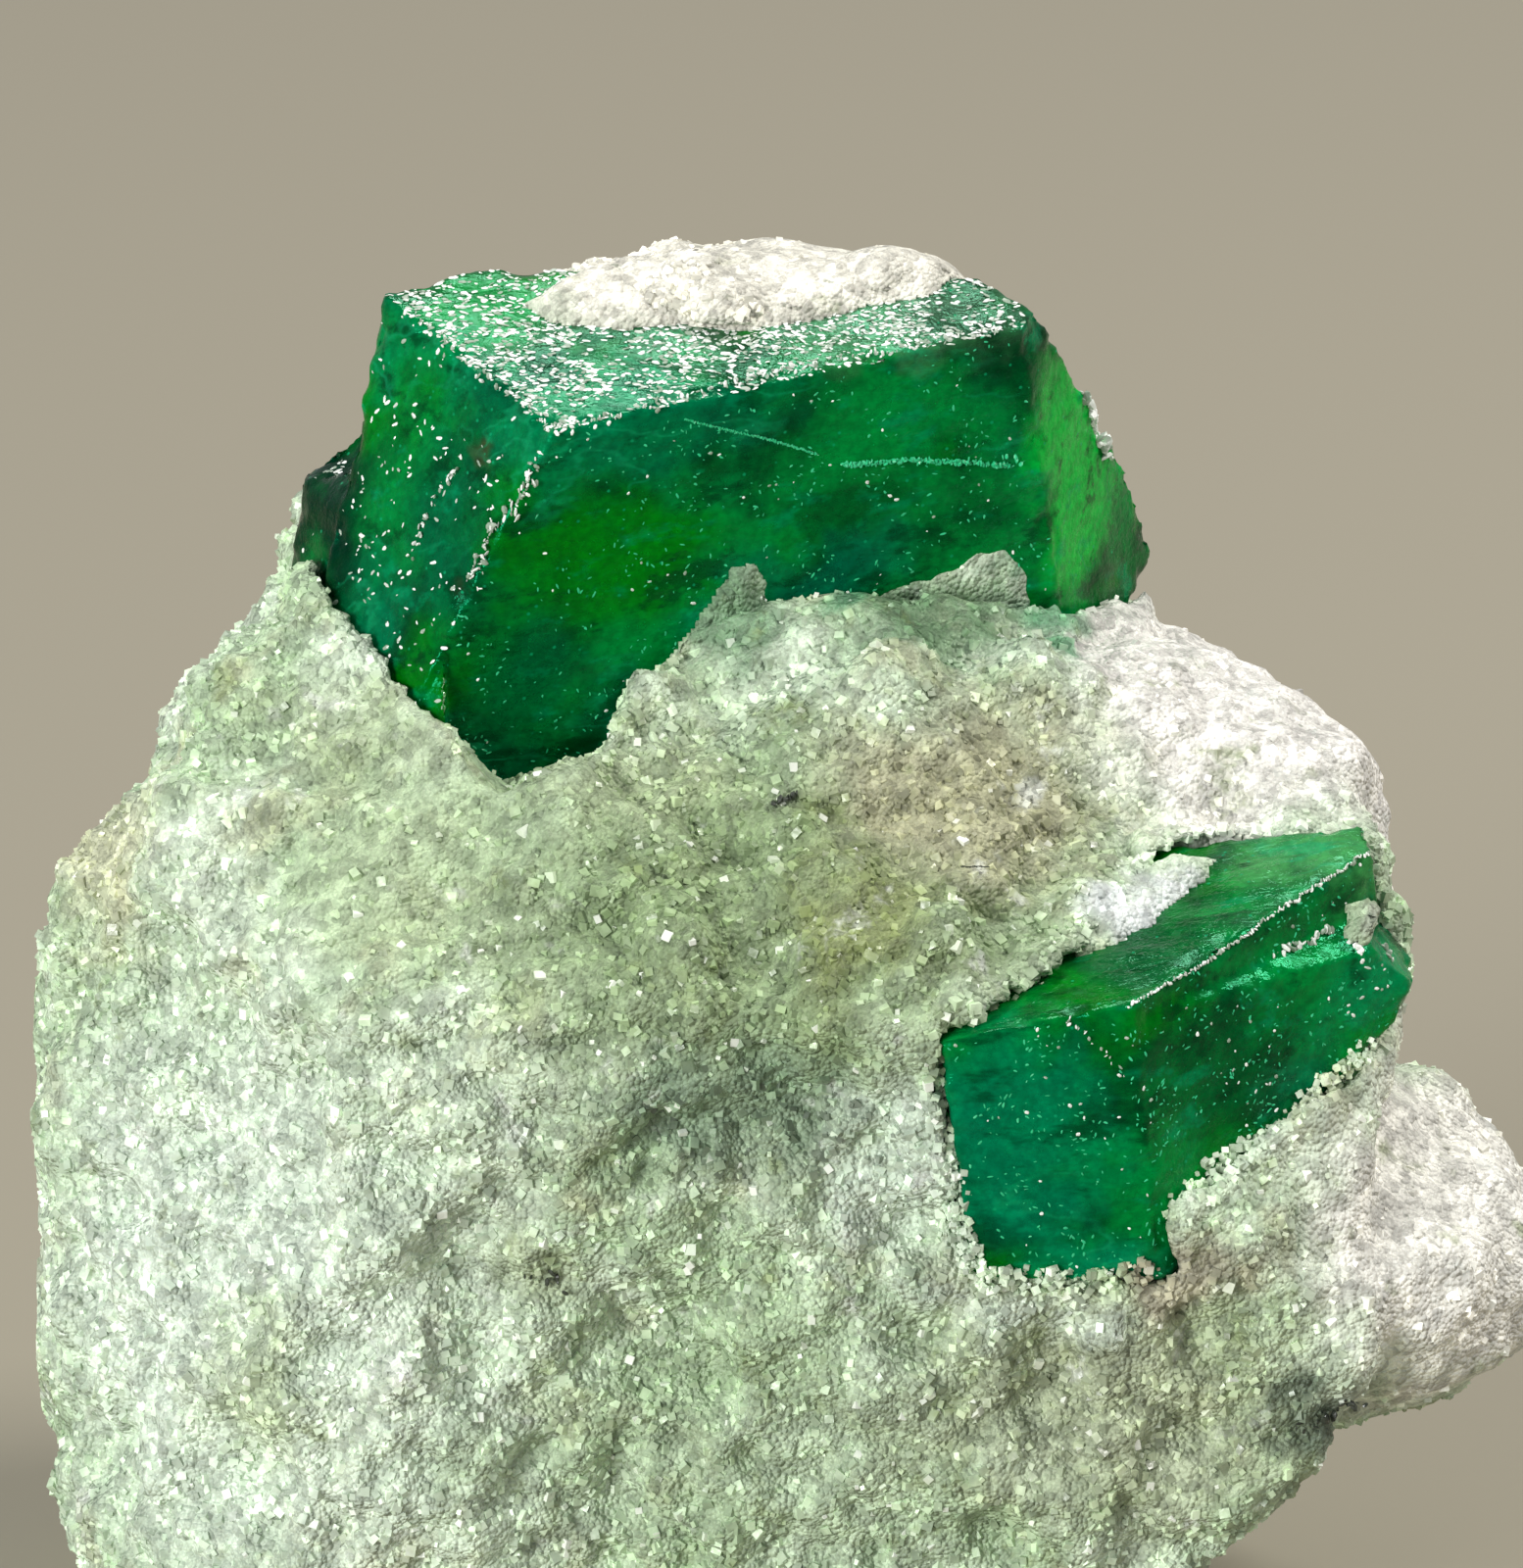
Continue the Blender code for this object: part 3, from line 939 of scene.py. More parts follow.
@dataclass
class Stone:
    """The rock that holds the crystals: its skin and the sugar that covers it."""

    low: Vector
    high: Vector
    crystals: list[BVHTree]
    cell: float = 0.165
    swells: tuple[tuple[float, float, int], ...] = (
        (3.0, 0.34, 3),
        (1.3, 0.26, 5),
        (0.62, 0.17, 9),
        (0.34, 0.08, 14),
    )
    foot_band: float = 0.30
    foot_depth: float = 0.12
    grip: float = 0.42
    probe: float = 0.45
    socket_rise: float = 0.05
    lip_rise: float = 0.16
    lip_pull: float = 0.8
    lip_sugar: float = 1.8
    clump_size: float = 1.6
    middle: float = -0.4
    layers: tuple[Scatter, ...] = (
        Scatter("coarse_sugar", 2.4, 0.13, 0.25, sunk=0.34, seed=21, mask="sugar_clumps"),
        Scatter("left_sugar", 24.0, 0.07, 0.17, sunk=0.22, seed=31, mask="sugar_left",
                blocks=True),
        Scatter("right_sugar", 24.0, 0.07, 0.17, sunk=0.22, seed=41, mask="sugar_right",
                blocks=True),
        Scatter("fine_sugar", 7.5, 0.05, 0.10, sunk=0.0, seed=51, blocks=True),
    )
    bare: tuple[Bare, ...] = (
        Bare((8.4, 2.4, 15.2), 6.0, 0.03, 0.45),
        Bare((1.6, 2.4, 23.6), 4.6, 0.04, 0.25),
        Bare((-7.0, -3.6, 15.0), 4.2, 0.5, 0.8),
        Bare((10.8, -3.8, 8.8), 5.2, 0.15, 0.35),
        Bare((2.2, 0.0, 18.1), 2.2, 0.45, 0.8),
        Bare((-1.1, -0.9, 18.2), 1.5, 0.3, 0.8),
    )
    skin: bpy.types.Mesh = field(init=False)

    def build(self) -> None:
        """Makes the rock's skin: a fine, evenly meshed and roughened surface."""
        solid = node_mesh("matrix")
        skin = applied(solid, "REMESH", mode="VOXEL", voxel_size=self.cell)
        rows, normals = points_of(skin), normals_of(skin)
        push = np.zeros(len(rows))
        for size, depth, seed in self.swells:
            shift = Vector((seed * 3.7, seed * 1.3, seed * 2.1))
            waves = [noise.noise(Vector(row) / size + shift) for row in rows]
            push += np.array(waves) * depth * 1.6
        for place in self.bare:
            push *= 1.0 - (1.0 - place.relief) * place.cover(rows)
        sugar = self._contact(rows, normals, push)
        foot = (rows[:, 2] < self.foot_depth) & (normals[:, 2] < -0.6)
        push[foot] = 0.0
        rows += normals * push[:, None]
        rows[foot, 2] = 0.0
        put_points(skin, rows)
        self._even_lip(skin, sugar)
        rows = points_of(skin)
        kept_inside(skin, self.low, self.high)
        self.skin = skin
        self._mask_sugar(rows, sugar)

    def _even_lip(self, skin: bpy.types.Mesh, sugar: np.ndarray) -> None:
        """Evens the rock's lip, so that it meets the crystals in a soft line.

        Args:
            skin: the rock's skin.
            sugar: the share of grains, which is high at the lip and none in a socket.
        """
        work = bmesh.new()
        work.from_mesh(skin)
        work.verts.ensure_lookup_table()
        lip = {work.verts[index] for index in np.flatnonzero(sugar > 1.5)}
        lip |= {edge.other_vert(vert) for vert in lip for edge in vert.link_edges}
        for _ in range(3):
            bmesh.ops.smooth_vert(
                work, verts=list(lip), factor=0.5, use_axis_x=True, use_axis_y=True, use_axis_z=True
            )
        work.to_mesh(skin)
        work.free()

    def _contact(self, rows: np.ndarray, normals: np.ndarray, push: np.ndarray) -> np.ndarray:
        """Closes the rock on the crystals and says where grains may lie.

        Args:
            rows: the skin's vertices.
            normals: their normals.
            push: how far each one is pushed out, which this changes at the crystals.

        Returns:
            The share of grains at each vertex: none in a socket, most at its rim.
        """
        sugar = np.ones(len(rows))
        for index, (row, normal) in enumerate(zip(rows, normals)):
            point, out = Vector(row), Vector(normal)
            for crystal in self.crystals:
                near, _, _, away = crystal.find_nearest(point, 1.2)
                if near is None:
                    continue
                probe = point + out * self.probe
                ahead, ahead_face, _, _ = crystal.find_nearest(probe, 2.0)
                if ahead is not None and (probe - ahead).dot(ahead_face) < 0.05:
                    sugar[index] = 0.0
                    push[index] = min(push[index], self.socket_rise)
                elif away < self.grip:
                    sugar[index] = self.lip_sugar
                    push[index] = self.lip_rise + 0.4 * push[index]
                    pull = self.lip_pull * (1.0 - away / self.grip)
                    rows[index] += pull * np.array(near - point)
        return sugar

    def _mask_sugar(self, rows: np.ndarray, sugar: np.ndarray) -> None:
        """Marks where grains lie: off the foot, thicker in some places than in others.

        Args:
            rows: the skin's vertices.
            sugar: the share of grains at each one.
        """
        sugar[rows[:, 2] < self.foot_band] = 0.0
        for place in self.bare:
            sugar *= 1.0 - (1.0 - place.share) * place.cover(rows)
        shift = Vector((5.0, 9.0, 2.0))
        waves = [noise.noise(Vector(row) / self.clump_size + shift) for row in rows]
        clumps = np.clip(0.55 + 1.9 * np.array(waves), 0.0, 2.2)
        with_mask(self.skin, "sugar", sugar)
        with_mask(self.skin, "sugar_clumps", sugar * clumps)
        spread = sugar * np.clip(0.5 + 0.5 * clumps, 0.0, 1.3)
        side = rows[:, 0] < self.middle
        with_mask(self.skin, "sugar_left", spread * side)
        with_mask(self.skin, "sugar_right", spread * ~side)

    def dress(self, rock: bpy.types.Material, grain: bpy.types.Material) -> None:
        """Finishes the skin and its grains.

        Args:
            rock: the skin's material.
            grain: the grains' material.
        """
        for layer in self.layers:
            mesh = layer.strew(self.skin.copy(), grain)
            kept_inside(mesh, self.low, self.high)
            as_piece(layer.name, mesh, grain)
        as_piece("rock_skin", self.skin, rock, "matrix", smooth=True)


@dataclass(frozen=True)
class Dent:
    """A hollow, or with a negative depth a boss, in a crystal's face."""

    centre: Point
    reach: float
    depth: float


@dataclass
class Seam:
    """A chain of small scales along a line on a surface."""

    name: str
    path: tuple[Point, ...]
    spacing: float = 0.06
    smallest: float = 0.05
    largest: float = 0.11
    jitter: float = 0.03
    stretch: Point = (1.6, 1.0, 0.5)
    lift: float = 0.01
    seed: int = 1
    blocks: bool = False
    trim: Trim = Trim.MICA

    def tree(self, finish: bpy.types.Material) -> bpy.types.NodeTree:
        """Writes the node tree, which sets a scale at each step along the line.

        Args:
            finish: the scales' material.

        Returns:
            The tree, which ends in realised scales with their material.
        """
        rule = ShapeTree(self.name, ("Spacing", "Smallest", "Largest", "Jitter"))
        add, link, source = rule.add, rule.link, rule.source
        line = add("GeometryNodeMeshToCurve")
        link(source.outputs["Geometry"], line.inputs["Mesh"])
        steps = add("GeometryNodeResampleCurve")
        steps.mode = "LENGTH"
        link(line.outputs[0], steps.inputs["Curve"])
        link(source.outputs["Spacing"], steps.inputs["Length"])
        stray = rule.spread(3, (-1.0,) * 3, (1.0,) * 3)
        rule.moved(steps.outputs[0], rule.scaled(stray, source.outputs["Jitter"]))
        rule.shape(self.blocks)
        link(rule.spread(5, (-math.pi,) * 3, (math.pi,) * 3), rule.place.inputs["Rotation"])
        link(rule.scaled(self.stretch, rule.size(7)), rule.place.inputs["Scale"])
        return rule.ended(9, finish)

    def lay(self, surface: BVHTree, finish: bpy.types.Material, box: tuple[Vector, Vector]) -> None:
        """Lays the chain on a surface as a piece of its own.

        Args:
            surface: what it lies on.
            finish: its material.
            box: the box that it stays in.
        """
        rows = []
        for a, b in zip(self.path, self.path[1:]):
            for step in range(STEPS_PER_LEG):
                place = Vector(a).lerp(Vector(b), step / STEPS_PER_LEG)
                near, out, _, _ = surface.find_nearest(place)
                rows.append(near + out * self.lift)
        line = bpy.data.meshes.new(self.name)
        line.from_pydata(rows, [(i, i + 1) for i in range(len(rows) - 1)], [])
        values = {
            "Spacing": self.spacing,
            "Smallest": self.smallest,
            "Largest": self.largest,
            "Jitter": self.jitter,
            "Seed": self.seed,
        }
        mesh = grown(line, self.tree(finish), values)
        kept_inside(mesh, *box)
        as_piece(self.name, mesh, finish)


@dataclass(frozen=True)
class Dusting:
    """Small scales on the faces of a crystal that look one way."""

    way: Point
    spread: float
    clump: float
    scales: Scatter
    trim: Trim = Trim.MICA


@dataclass(frozen=True)
class Veil:
    """A wavy sheet of flecks that hangs inside a crystal."""

    centre: Point
    facing: Point
    width: float
    flecks: Scatter
    steps: int = 40
    wave: float = 0.5
    depth: float = 0.22

    def sheet(self, body: BVHTree) -> bpy.types.Mesh:
        """Makes the sheet that the flecks lie on.

        Args:
            body: the crystal's faces.

        Returns:
            The sheet, marked where flecks may lie.
        """
        turn = Vector(self.facing).to_track_quat("Z", "Y").to_matrix()
        seed, across = self.flecks.seed, self.steps + 1
        rows, mark = [], []
        for i in range(across):
            for k in range(across):
                a, b = (i / self.steps - 0.5) * self.width, (k / self.steps - 0.5) * self.width
                wave = self.wave * noise.noise(Vector((a * 0.5, b * 0.5, seed)))
                place = Vector(self.centre) + turn @ Vector((a, b, wave))
                near, out, _, _ = body.find_nearest(place)
                deep = (place - near).dot(out) < -self.depth
                patchy = noise.noise(Vector((a * 1.1, b * 1.1, seed + 4.0))) > -0.08
                rows.append(place)
                mark.append(float(deep and patchy))
        corners = [i * across + k for i in range(self.steps) for k in range(self.steps)]
        quads = [(c, c + across, c + across + 1, c + 1) for c in corners if mark[c]]
        sheet = bpy.data.meshes.new(self.flecks.name)
        sheet.from_pydata(rows, [], quads)
        return with_mask(sheet, "sugar", np.array(mark))


@dataclass
class Crystal:
    """One emerald: a faceted body with chipped edges, growth lines and dents."""

    node: str
    name: str
    finish: EmeraldGlass
    low: Vector
    high: Vector
    cell: float = 0.10
    chip: float = 0.16
    chip_reach: float = 0.30
    wave: float = 0.035
    growth: float = 0.022
    sharp: float = 14.0
    dents: tuple[Dent, ...] = ()
    dustings: tuple[Dusting, ...] = ()
    veils: tuple[Veil, ...] = ()
    seams: tuple[Seam, ...] = ()
    seed: int = 1
    body: bpy.types.Mesh = field(init=False)
    tree: BVHTree = field(init=False)

    def build(self) -> None:
        """Makes the body, with its facets true and its edges worn and chipped."""
        solid = node_mesh(self.node)
        facets = tree_of(solid)
        edges = self._edges(solid.copy())
        body = applied(solid, "REMESH", mode="VOXEL", voxel_size=self.cell)
        rows = points_of(body)
        shift = Vector((self.seed * 4.1, self.seed * 2.3, self.seed * 1.7))
        for index, row in enumerate(rows):
            place, facing, _, _ = facets.find_nearest(Vector(row))
            rise = self.wave * noise.noise(place / 0.9 + shift)
            drawn = Vector((place.x * 1.2 + place.z * 0.4, place.y * 1.2, place.z * 3.4))
            rise += self.growth * noise.noise(drawn * 1.3 + shift)
            edge, _, away = edges.find(place)
            if edge is not None and away < self.chip_reach:
                bite = max(0.0, noise.noise(place / 0.42 + shift) + 0.12)
                rise -= self.chip * bite * (1.0 - away / self.chip_reach)
            for dent in self.dents:
                near = (place - Vector(dent.centre)).length / dent.reach
                if near < 1.0:
                    rise -= dent.depth * (1.0 - near * near) ** 2
            rows[index] = place + facing * rise
        put_points(body, rows)
        kept_inside(body, self.low, self.high)
        self.body, self.tree = body, tree_of(body)

    def _edges(self, solid: bpy.types.Mesh) -> KDTree:
        """Returns a search tree of places along a solid's sharp edges."""
        work = bmesh.new()
        work.from_mesh(solid)
        places = []
        for edge in work.edges:
            if edge.calc_face_angle(0.0) > math.radians(self.sharp):
                a, b = (v.co for v in edge.verts)
                steps = max(2, int(edge.calc_length() / 0.06))
                places += [a.lerp(b, step / steps) for step in range(steps + 1)]
        work.free()
        tree = KDTree(len(places))
        for index, place in enumerate(places):
            tree.insert(place, index)
        tree.balance()
        return tree

    def _ground(self, dusting: Dusting) -> bpy.types.Mesh:
        """Copies the faces of the body that look one way, marked for strewing.

        Args:
            dusting: the way they look and how unevenly the scales lie on them.

        Returns:
            The marked copy.
        """
        ground = self.body.copy()
        work = bmesh.new()
        work.from_mesh(ground)
        out = Vector(dusting.way).normalized()
        wanted = math.cos(math.radians(dusting.spread))
        gone = [f for f in work.faces if f.normal.dot(out) < wanted]
        bmesh.ops.delete(work, geom=gone, context="FACES")
        work.to_mesh(ground)
        work.free()
        shift = Vector((self.seed, 3.0, 8.0))
        waves = [noise.noise(v.co / 0.8 + shift) for v in ground.vertices]
        mark = 1.0 + 3.0 * dusting.clump * np.array(waves)
        return with_mask(ground, "sugar", np.clip(mark, 0.0, 2.5))

    def _strew(self, scatter: Scatter, ground: bpy.types.Mesh, finish: bpy.types.Material) -> None:
        """Strews scales or flecks over a ground as a piece of their own.

        Args:
            scatter: the rule for them.
            ground: where they lie.
            finish: their material.
        """
        mesh = scatter.strew(ground, finish)
        kept_inside(mesh, self.low, self.high)
        as_piece(scatter.name, mesh, finish)

    def dress(self, trims: dict[Trim, bpy.types.Material]) -> None:
        """Lays the scales, veils and seams, and finishes the body.

        Args:
            trims: the material of each of the small minerals.
        """
        for dusting in self.dustings:
            self._strew(dusting.scales, self._ground(dusting), trims[dusting.trim])
        for veil in self.veils:
            self._strew(veil.flecks, veil.sheet(self.tree), trims[Trim.FLECK])
        for seam in self.seams:
            seam.lay(self.tree, trims[seam.trim], (self.low, self.high))
        as_piece(self.name, self.body, self.finish.material(), self.node, smooth=True)


@dataclass
class Crust:
    """A thin tongue of rock that climbs over a crystal's face."""

    name: str
    outline: tuple[tuple[float, float], ...]
    ground: BVHTree
    thickness: float = 0.22
    cell: float = 0.07
    sunk: float = 0.12
    rough: float = 0.35
    slope: float = 0.5
    tuck: float = 0.03
    grains: float = 16.0
    seed: int = 5
    from_above: bool = False
    mesh: bpy.types.Mesh = field(init=False)

    def build(self) -> None:
        """Grows the tongue on the crystal: thin at its edge, thicker inside."""
        low_x, high_x = min(p[0] for p in self.outline), max(p[0] for p in self.outline)
        low_z, high_z = min(p[1] for p in self.outline), max(p[1] for p in self.outline)
        across = int((high_x - low_x) / self.cell) + 1
        up = int((high_z - low_z) / self.cell) + 1
        work = bmesh.new()
        front: dict[tuple[int, int], bmesh.types.BMVert] = {}
        back: dict[tuple[int, int], bmesh.types.BMVert] = {}
        for i in range(across + 1):
            for k in range(up + 1):
                x, z = low_x + i * self.cell, low_z + k * self.cell
                ragged = noise.noise(Vector((x * 3.0, z * 3.0, self.seed + 4.0)))
                depth = self._depth(x, z) + 0.3 * self.rough * (ragged - 0.4)
                if depth < 0.0:
                    continue
                start = Vector((x, z, 30.0)) if self.from_above else Vector((x, -20.0, z))
                way = Vector((0.0, 0.0, -1.0)) if self.from_above else Vector((0.0, 1.0, 0.0))
                hit = self.ground.ray_cast(start, way)
                if hit[0] is None:
                    continue
                wave = noise.noise(Vector((x * 2.2, z * 2.2, self.seed)))
                fine = noise.noise(Vector((x * 6.0, z * 6.0, self.seed + 9.0)))
                slope = min(1.0, depth / self.slope)
                swell = 1.0 + 1.2 * self.rough * wave + self.rough * fine
                rise = self.thickness * slope * (2.0 - slope) * swell - self.tuck
                front[i, k] = work.verts.new(hit[0] + hit[1] * rise)
                back[i, k] = work.verts.new(hit[0] - hit[1] * self.sunk)
        self._skin(work, front, back)
        self.mesh = bpy.data.meshes.new(self.name)
        bmesh.ops.recalc_face_normals(work, faces=work.faces)
        work.to_mesh(self.mesh)
        work.free()

    def _depth(self, x: float, z: float) -> float:
        """Returns how far a place is inside the outline, or below 0 outside it."""
        inside, nearest = False, 1e9
        ends = list(zip(self.outline, self.outline[1:] + self.outline[:1]))
        for (ax, az), (bx, bz) in ends:
            if (az > z) != (bz > z) and x < (bx - ax) * (z - az) / (bz - az) + ax:
                inside = not inside
            dx, dz = bx - ax, bz - az
            along = max(0.0, min(1.0, ((x - ax) * dx + (z - az) * dz) / (dx * dx + dz * dz)))
            nearest = min(nearest, math.hypot(x - ax - along * dx, z - az - along * dz))
        return nearest if inside else -1.0

    @staticmethod
    def _skin(
        work: bmesh.types.BMesh,
        front: dict[tuple[int, int], bmesh.types.BMVert],
        back: dict[tuple[int, int], bmesh.types.BMVert],
    ) -> None:
        """Joins the two grids of vertices into one closed shell.

        Args:
            work: the mesh that is being made.
            front: the outer vertices by row and column.
            back: the inner vertices by row and column.
        """
        full = [
            (i, k)
            for i, k in front
            if {(i + 1, k), (i, k + 1), (i + 1, k + 1)} <= front.keys()
        ]
        sides: dict[frozenset, tuple] = {}
        for i, k in full:
            ring = [(i, k), (i + 1, k), (i + 1, k + 1), (i, k + 1)]
            work.faces.new([front[c] for c in ring])
            work.faces.new([back[c] for c in reversed(ring)])
            for a, b in zip(ring, ring[1:] + ring[:1]):
                key = frozenset((a, b))
                if key in sides:
                    sides.pop(key)
                else:
                    sides[key] = (a, b)
        for a, b in sides.values():
            work.faces.new([front[b], front[a], back[a], back[b]])
        loose = [v for v in work.verts if not v.link_faces]
        bmesh.ops.delete(work, geom=loose, context="VERTS")

    def dress(self, finish: bpy.types.Material) -> bpy.types.Object:
        """Returns the tongue as a finished piece."""
        return as_piece(self.name, self.mesh, finish, smooth=True)


# ------------------------------------------------------------------ the studio


@dataclass
class Studio:
    """The plain pale floor, the soft lights and the camera."""

    aim: Point = (-0.589, -3.2, 16.0)
    distance: float = 160.0
    elevation: float = 18.0
    frame_height: float = 25.0 / 1554.0 * 1600.0
    floor_tint: Colour = (0.292, 0.266, 0.205)

    def build(self) -> None:
        """Sets up the floor, the lights, the surroundings and the camera."""
        self._floor()
        self._light("key", (187.0, -11.0, 242.0), 99.0, 0.60, (1.0, 0.97, 0.91))
        self._light("back", (-22.0, 132.0, 330.0), 110.0, 0.45, (1.0, 0.98, 0.94))
        self._light("fill", (-264.0, -286.0, 110.0), 198.0, 1.45, (0.99, 1.0, 0.98))
        world = bpy.data.worlds.new("room")
        bpy.context.scene.world = world
        world.use_nodes = True
        world.node_tree.nodes["Background"].inputs["Color"].default_value = (0.92, 0.95, 1.0, 1.0)
        world.node_tree.nodes["Background"].inputs["Strength"].default_value = 0.35
        self._camera()
        bpy.context.scene.view_settings.view_transform = "Standard"

    def _floor(self) -> None:
        """Lays the floor."""
        half = 1.5
        mesh = bpy.data.meshes.new("floor")
        corners = [(-half, -half, 0), (half, -half, 0), (half, half, 0), (-half, half, 0)]
        mesh.from_pydata(corners, [], [(0, 1, 2, 3)])
        floor = bpy.data.objects.new("floor", mesh)
        bpy.context.scene.collection.objects.link(floor)
        shader = Shader("floor_paper")
        haze = shader.noise(4.0, 2.0, 0.4)
        tint = shader.mixed(haze.outputs["Fac"], self.floor_tint, tuple(c * 1.06 for c in self.floor_tint))
        shader.set(Base_Color=tint, Roughness=0.9)
        mesh.materials.append(shader.material)
        floor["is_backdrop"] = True

    def _light(self, name: str, place: Point, size: float, power: float, tint: Colour) -> None:
        """Hangs one soft light.

        Args:
            name: its name.
            place: where it hangs, in millimetres.
            size: how wide it is, in millimetres.
            power: its power in watts.
            tint: its colour.
        """
        lamp = bpy.data.lights.new(name, "AREA")
        lamp.shape, lamp.size, lamp.energy, lamp.color = "DISK", size * MM, power, tint
        holder = bpy.data.objects.new(name, lamp)
        bpy.context.scene.collection.objects.link(holder)
        holder.location = Vector(place) * MM
        way = Vector((0.0, 0.0, 12.0)) * MM - holder.location
        holder.rotation_euler = way.to_track_quat("-Z", "Y").to_euler()

    def _camera(self) -> None:
        """Sets the camera at its viewing angle."""
        lens = bpy.data.cameras.new("camera")
        lens.sensor_width = 36.0
        lens.sensor_fit = "AUTO"
        lens.lens = 18.0 / (self.frame_height / 2.0 / self.distance)
        lens.clip_start, lens.clip_end = 0.005, 10.0
        camera = bpy.data.objects.new("camera", lens)
        bpy.context.scene.collection.objects.link(camera)
        rise = math.radians(self.elevation)
        back = Vector((0.0, -math.cos(rise), math.sin(rise)))
        camera.location = (Vector(self.aim) + back * self.distance) * MM
        camera.rotation_euler = Euler((math.radians(90.0 - self.elevation), 0.0, 0.0))
        bpy.context.scene.camera = camera


# ------------------------------------------------------------------ the whole


# Patches of other tints in the large crystal: mostly its own colour zoning, with some painted light and
# shade.
LARGE_TINTS_AND_PAINTED_LIGHT = (
    Patch((0.5, -0.4, 18.7), (3.6, 1.8, 1.0), (0.0, 0.24, 0.12), 0.7),
    Patch((-2.8, -1.4, 19.4), (2.2, 2.0, 1.5), (0.0, 0.32, 0.0), 0.8),
    # Painted light: bright green on the right bevel, standing in for light glowing through the crystal
    # there.
    Patch((4.7, 1.9, 19.8), (1.5, 2.4, 2.8), (0.0, 0.76, 0.07), 0.95, 0.5),
    Patch((2.2, 0.3, 21.5), (2.8, 1.6, 0.9), (0.0, 0.42, 0.07), 0.65),
    Patch((1.0, -0.2, 20.0), (2.2, 1.6, 0.8), (0.0, 0.09, 0.015), 0.7),
    Patch((-5.8, -1.4, 19.5), (1.5, 1.8, 3.2), (0.0, 0.16, 0.07), 0.7),
    # Painted shade: near-black at the left end and its knob, where the crystal's left edge falls into
    # shade.
    Patch((-7.6, 1.0, 19.4), (1.4, 2.8, 3.0), (0.0, 0.03, 0.014), 0.95),
    Patch((-4.3, -1.9, 17.0), (1.6, 1.6, 1.6), (0.0, 0.16, 0.05), 0.7),
    Patch((-0.5, 1.4, 22.8), (6.4, 3.0, 0.7), (0.12, 0.26, 0.15), 0.85),
    # Darker green at the front-left of the top face: partly the crystal's own deep green, partly painted
    # shadow between the mica scales.
    Patch((-3.4, -0.9, 22.3), (2.6, 1.6, 0.5), (0.0, 0.07, 0.035), 0.9),
    Patch((-5.13, -1.47, 21.19), (0.4, 0.5, 0.5), (0.07, 0.08, 0.03), 0.8),
    Patch((-5.78, -1.82, 19.03), (0.5, 0.5, 0.35), (0.10, 0.11, 0.06), 0.8),
)
SMALL_ZONES = (
    Patch((3.4, -7.4, 11.6), (2.0, 1.6, 2.8), (0.0, 0.36, 0.16), 0.75),
    Patch((7.0, -6.3, 11.9), (2.0, 1.6, 1.9), (0.0, 0.16, 0.03), 0.8),
    Patch((9.2, -4.6, 12.9), (1.6, 2.0, 1.2), (0.0, 0.42, 0.14), 0.85),
    Patch((5.6, -6.2, 14.1), (2.2, 1.8, 0.8), (0.01, 0.17, 0.05), 0.8),
    Patch((8.4, -3.8, 14.9), (2.2, 1.8, 0.8), (0.10, 0.55, 0.14), 0.8),
    Patch((4.8, -7.2, 8.9), (2.0, 1.6, 1.0), (0.0, 0.40, 0.18), 0.6),
)
MARKS = (
    Seam("dark_flake", ((-0.38, -4.09, 15.99), (0.02, -3.98, 16.09)), 0.05, 0.08, 0.13, 0.02,
         lift=0.09, seed=2),
    Seam("dark_hair", ((2.65, -4.9, 15.04), (2.9, -4.86, 15.02), (3.13, -4.83, 15.1)), 0.012,
         0.018, 0.03, 0.004, lift=0.10, seed=3),
    Seam("dark_pits", ((-4.4, -7.0, 8.95), (-4.1, -7.0, 8.75), (-3.8, -7.0, 8.5)), 0.12, 0.05,
         0.13, 0.12, lift=0.05, seed=4),
    Seam("dark_streak", ((8.1, -6.7, 6.0), (8.6, -6.6, 6.15), (9.3, -6.4, 6.4)), 0.05, 0.06,
         0.16, 0.12, lift=0.04, seed=5),
)
CONTACTS = (
    Seam("contact_left", ((2.16, -7.2, 13.1), (2.2, -7.15, 12.4), (2.28, -7.1, 11.5),
                          (2.4, -7.15, 10.3), (2.65, -7.15, 9.3), (3.1, -7.2, 8.85),
                          (4.2, -7.2, 8.7), (5.3, -7.2, 8.75), (5.7, -7.1, 9.0)), 0.007, 0.04,
         0.14, 0.20, (1.0, 1.0, 0.8), 0.02, 21, True),
    Seam("contact_top", ((2.3, -6.9, 13.2), (3.06, -6.7, 13.6), (3.71, -6.3, 13.85),
                         (4.15, -5.5, 14.25), (5.2, -4.5, 14.5)), 0.010, 0.04, 0.13, 0.18,
         (1.0, 1.0, 0.8), 0.0, 22, True),
    Seam("contact_right", ((6.1, -7.0, 10.0), (6.6, -6.4, 10.4), (8.07, -5.6, 10.9),
                           (8.6, -5.1, 11.5), (9.4, -4.6, 12.0)), 0.010, 0.04, 0.13, 0.18,
         (1.0, 1.0, 0.8), 0.0, 23, True),
)
SPIKE_OUTLINE = (
    (-2.6, 17.0), (-2.15, 17.6), (-1.8, 18.0), (-1.5, 18.5), (-1.13, 19.0), (-0.85, 19.15),
    (-0.62, 19.05), (-0.48, 18.7), (-0.36, 18.2), (-0.25, 17.6), (-0.3, 17.0),
)
FILM_OUTLINE = (
    (0.0, 17.6), (0.49, 18.2), (1.34, 18.28), (1.88, 18.45), (2.74, 18.6), (2.95, 18.92),
    (3.53, 18.86), (3.81, 18.55), (4.04, 18.1), (4.0, 17.2), (0.1, 17.1),
)
CAP_OUTLINE = (
    (-4.6, 0.85), (-4.1, 0.35), (-2.8, 0.15), (-1.85, 0.25), (-0.8, 0.12), (0.4, 0.42),
    (1.35, 0.8), (2.2, 1.0), (2.7, 1.55), (2.3, 2.1), (-3.0, 2.1), (-4.0, 1.4),
)
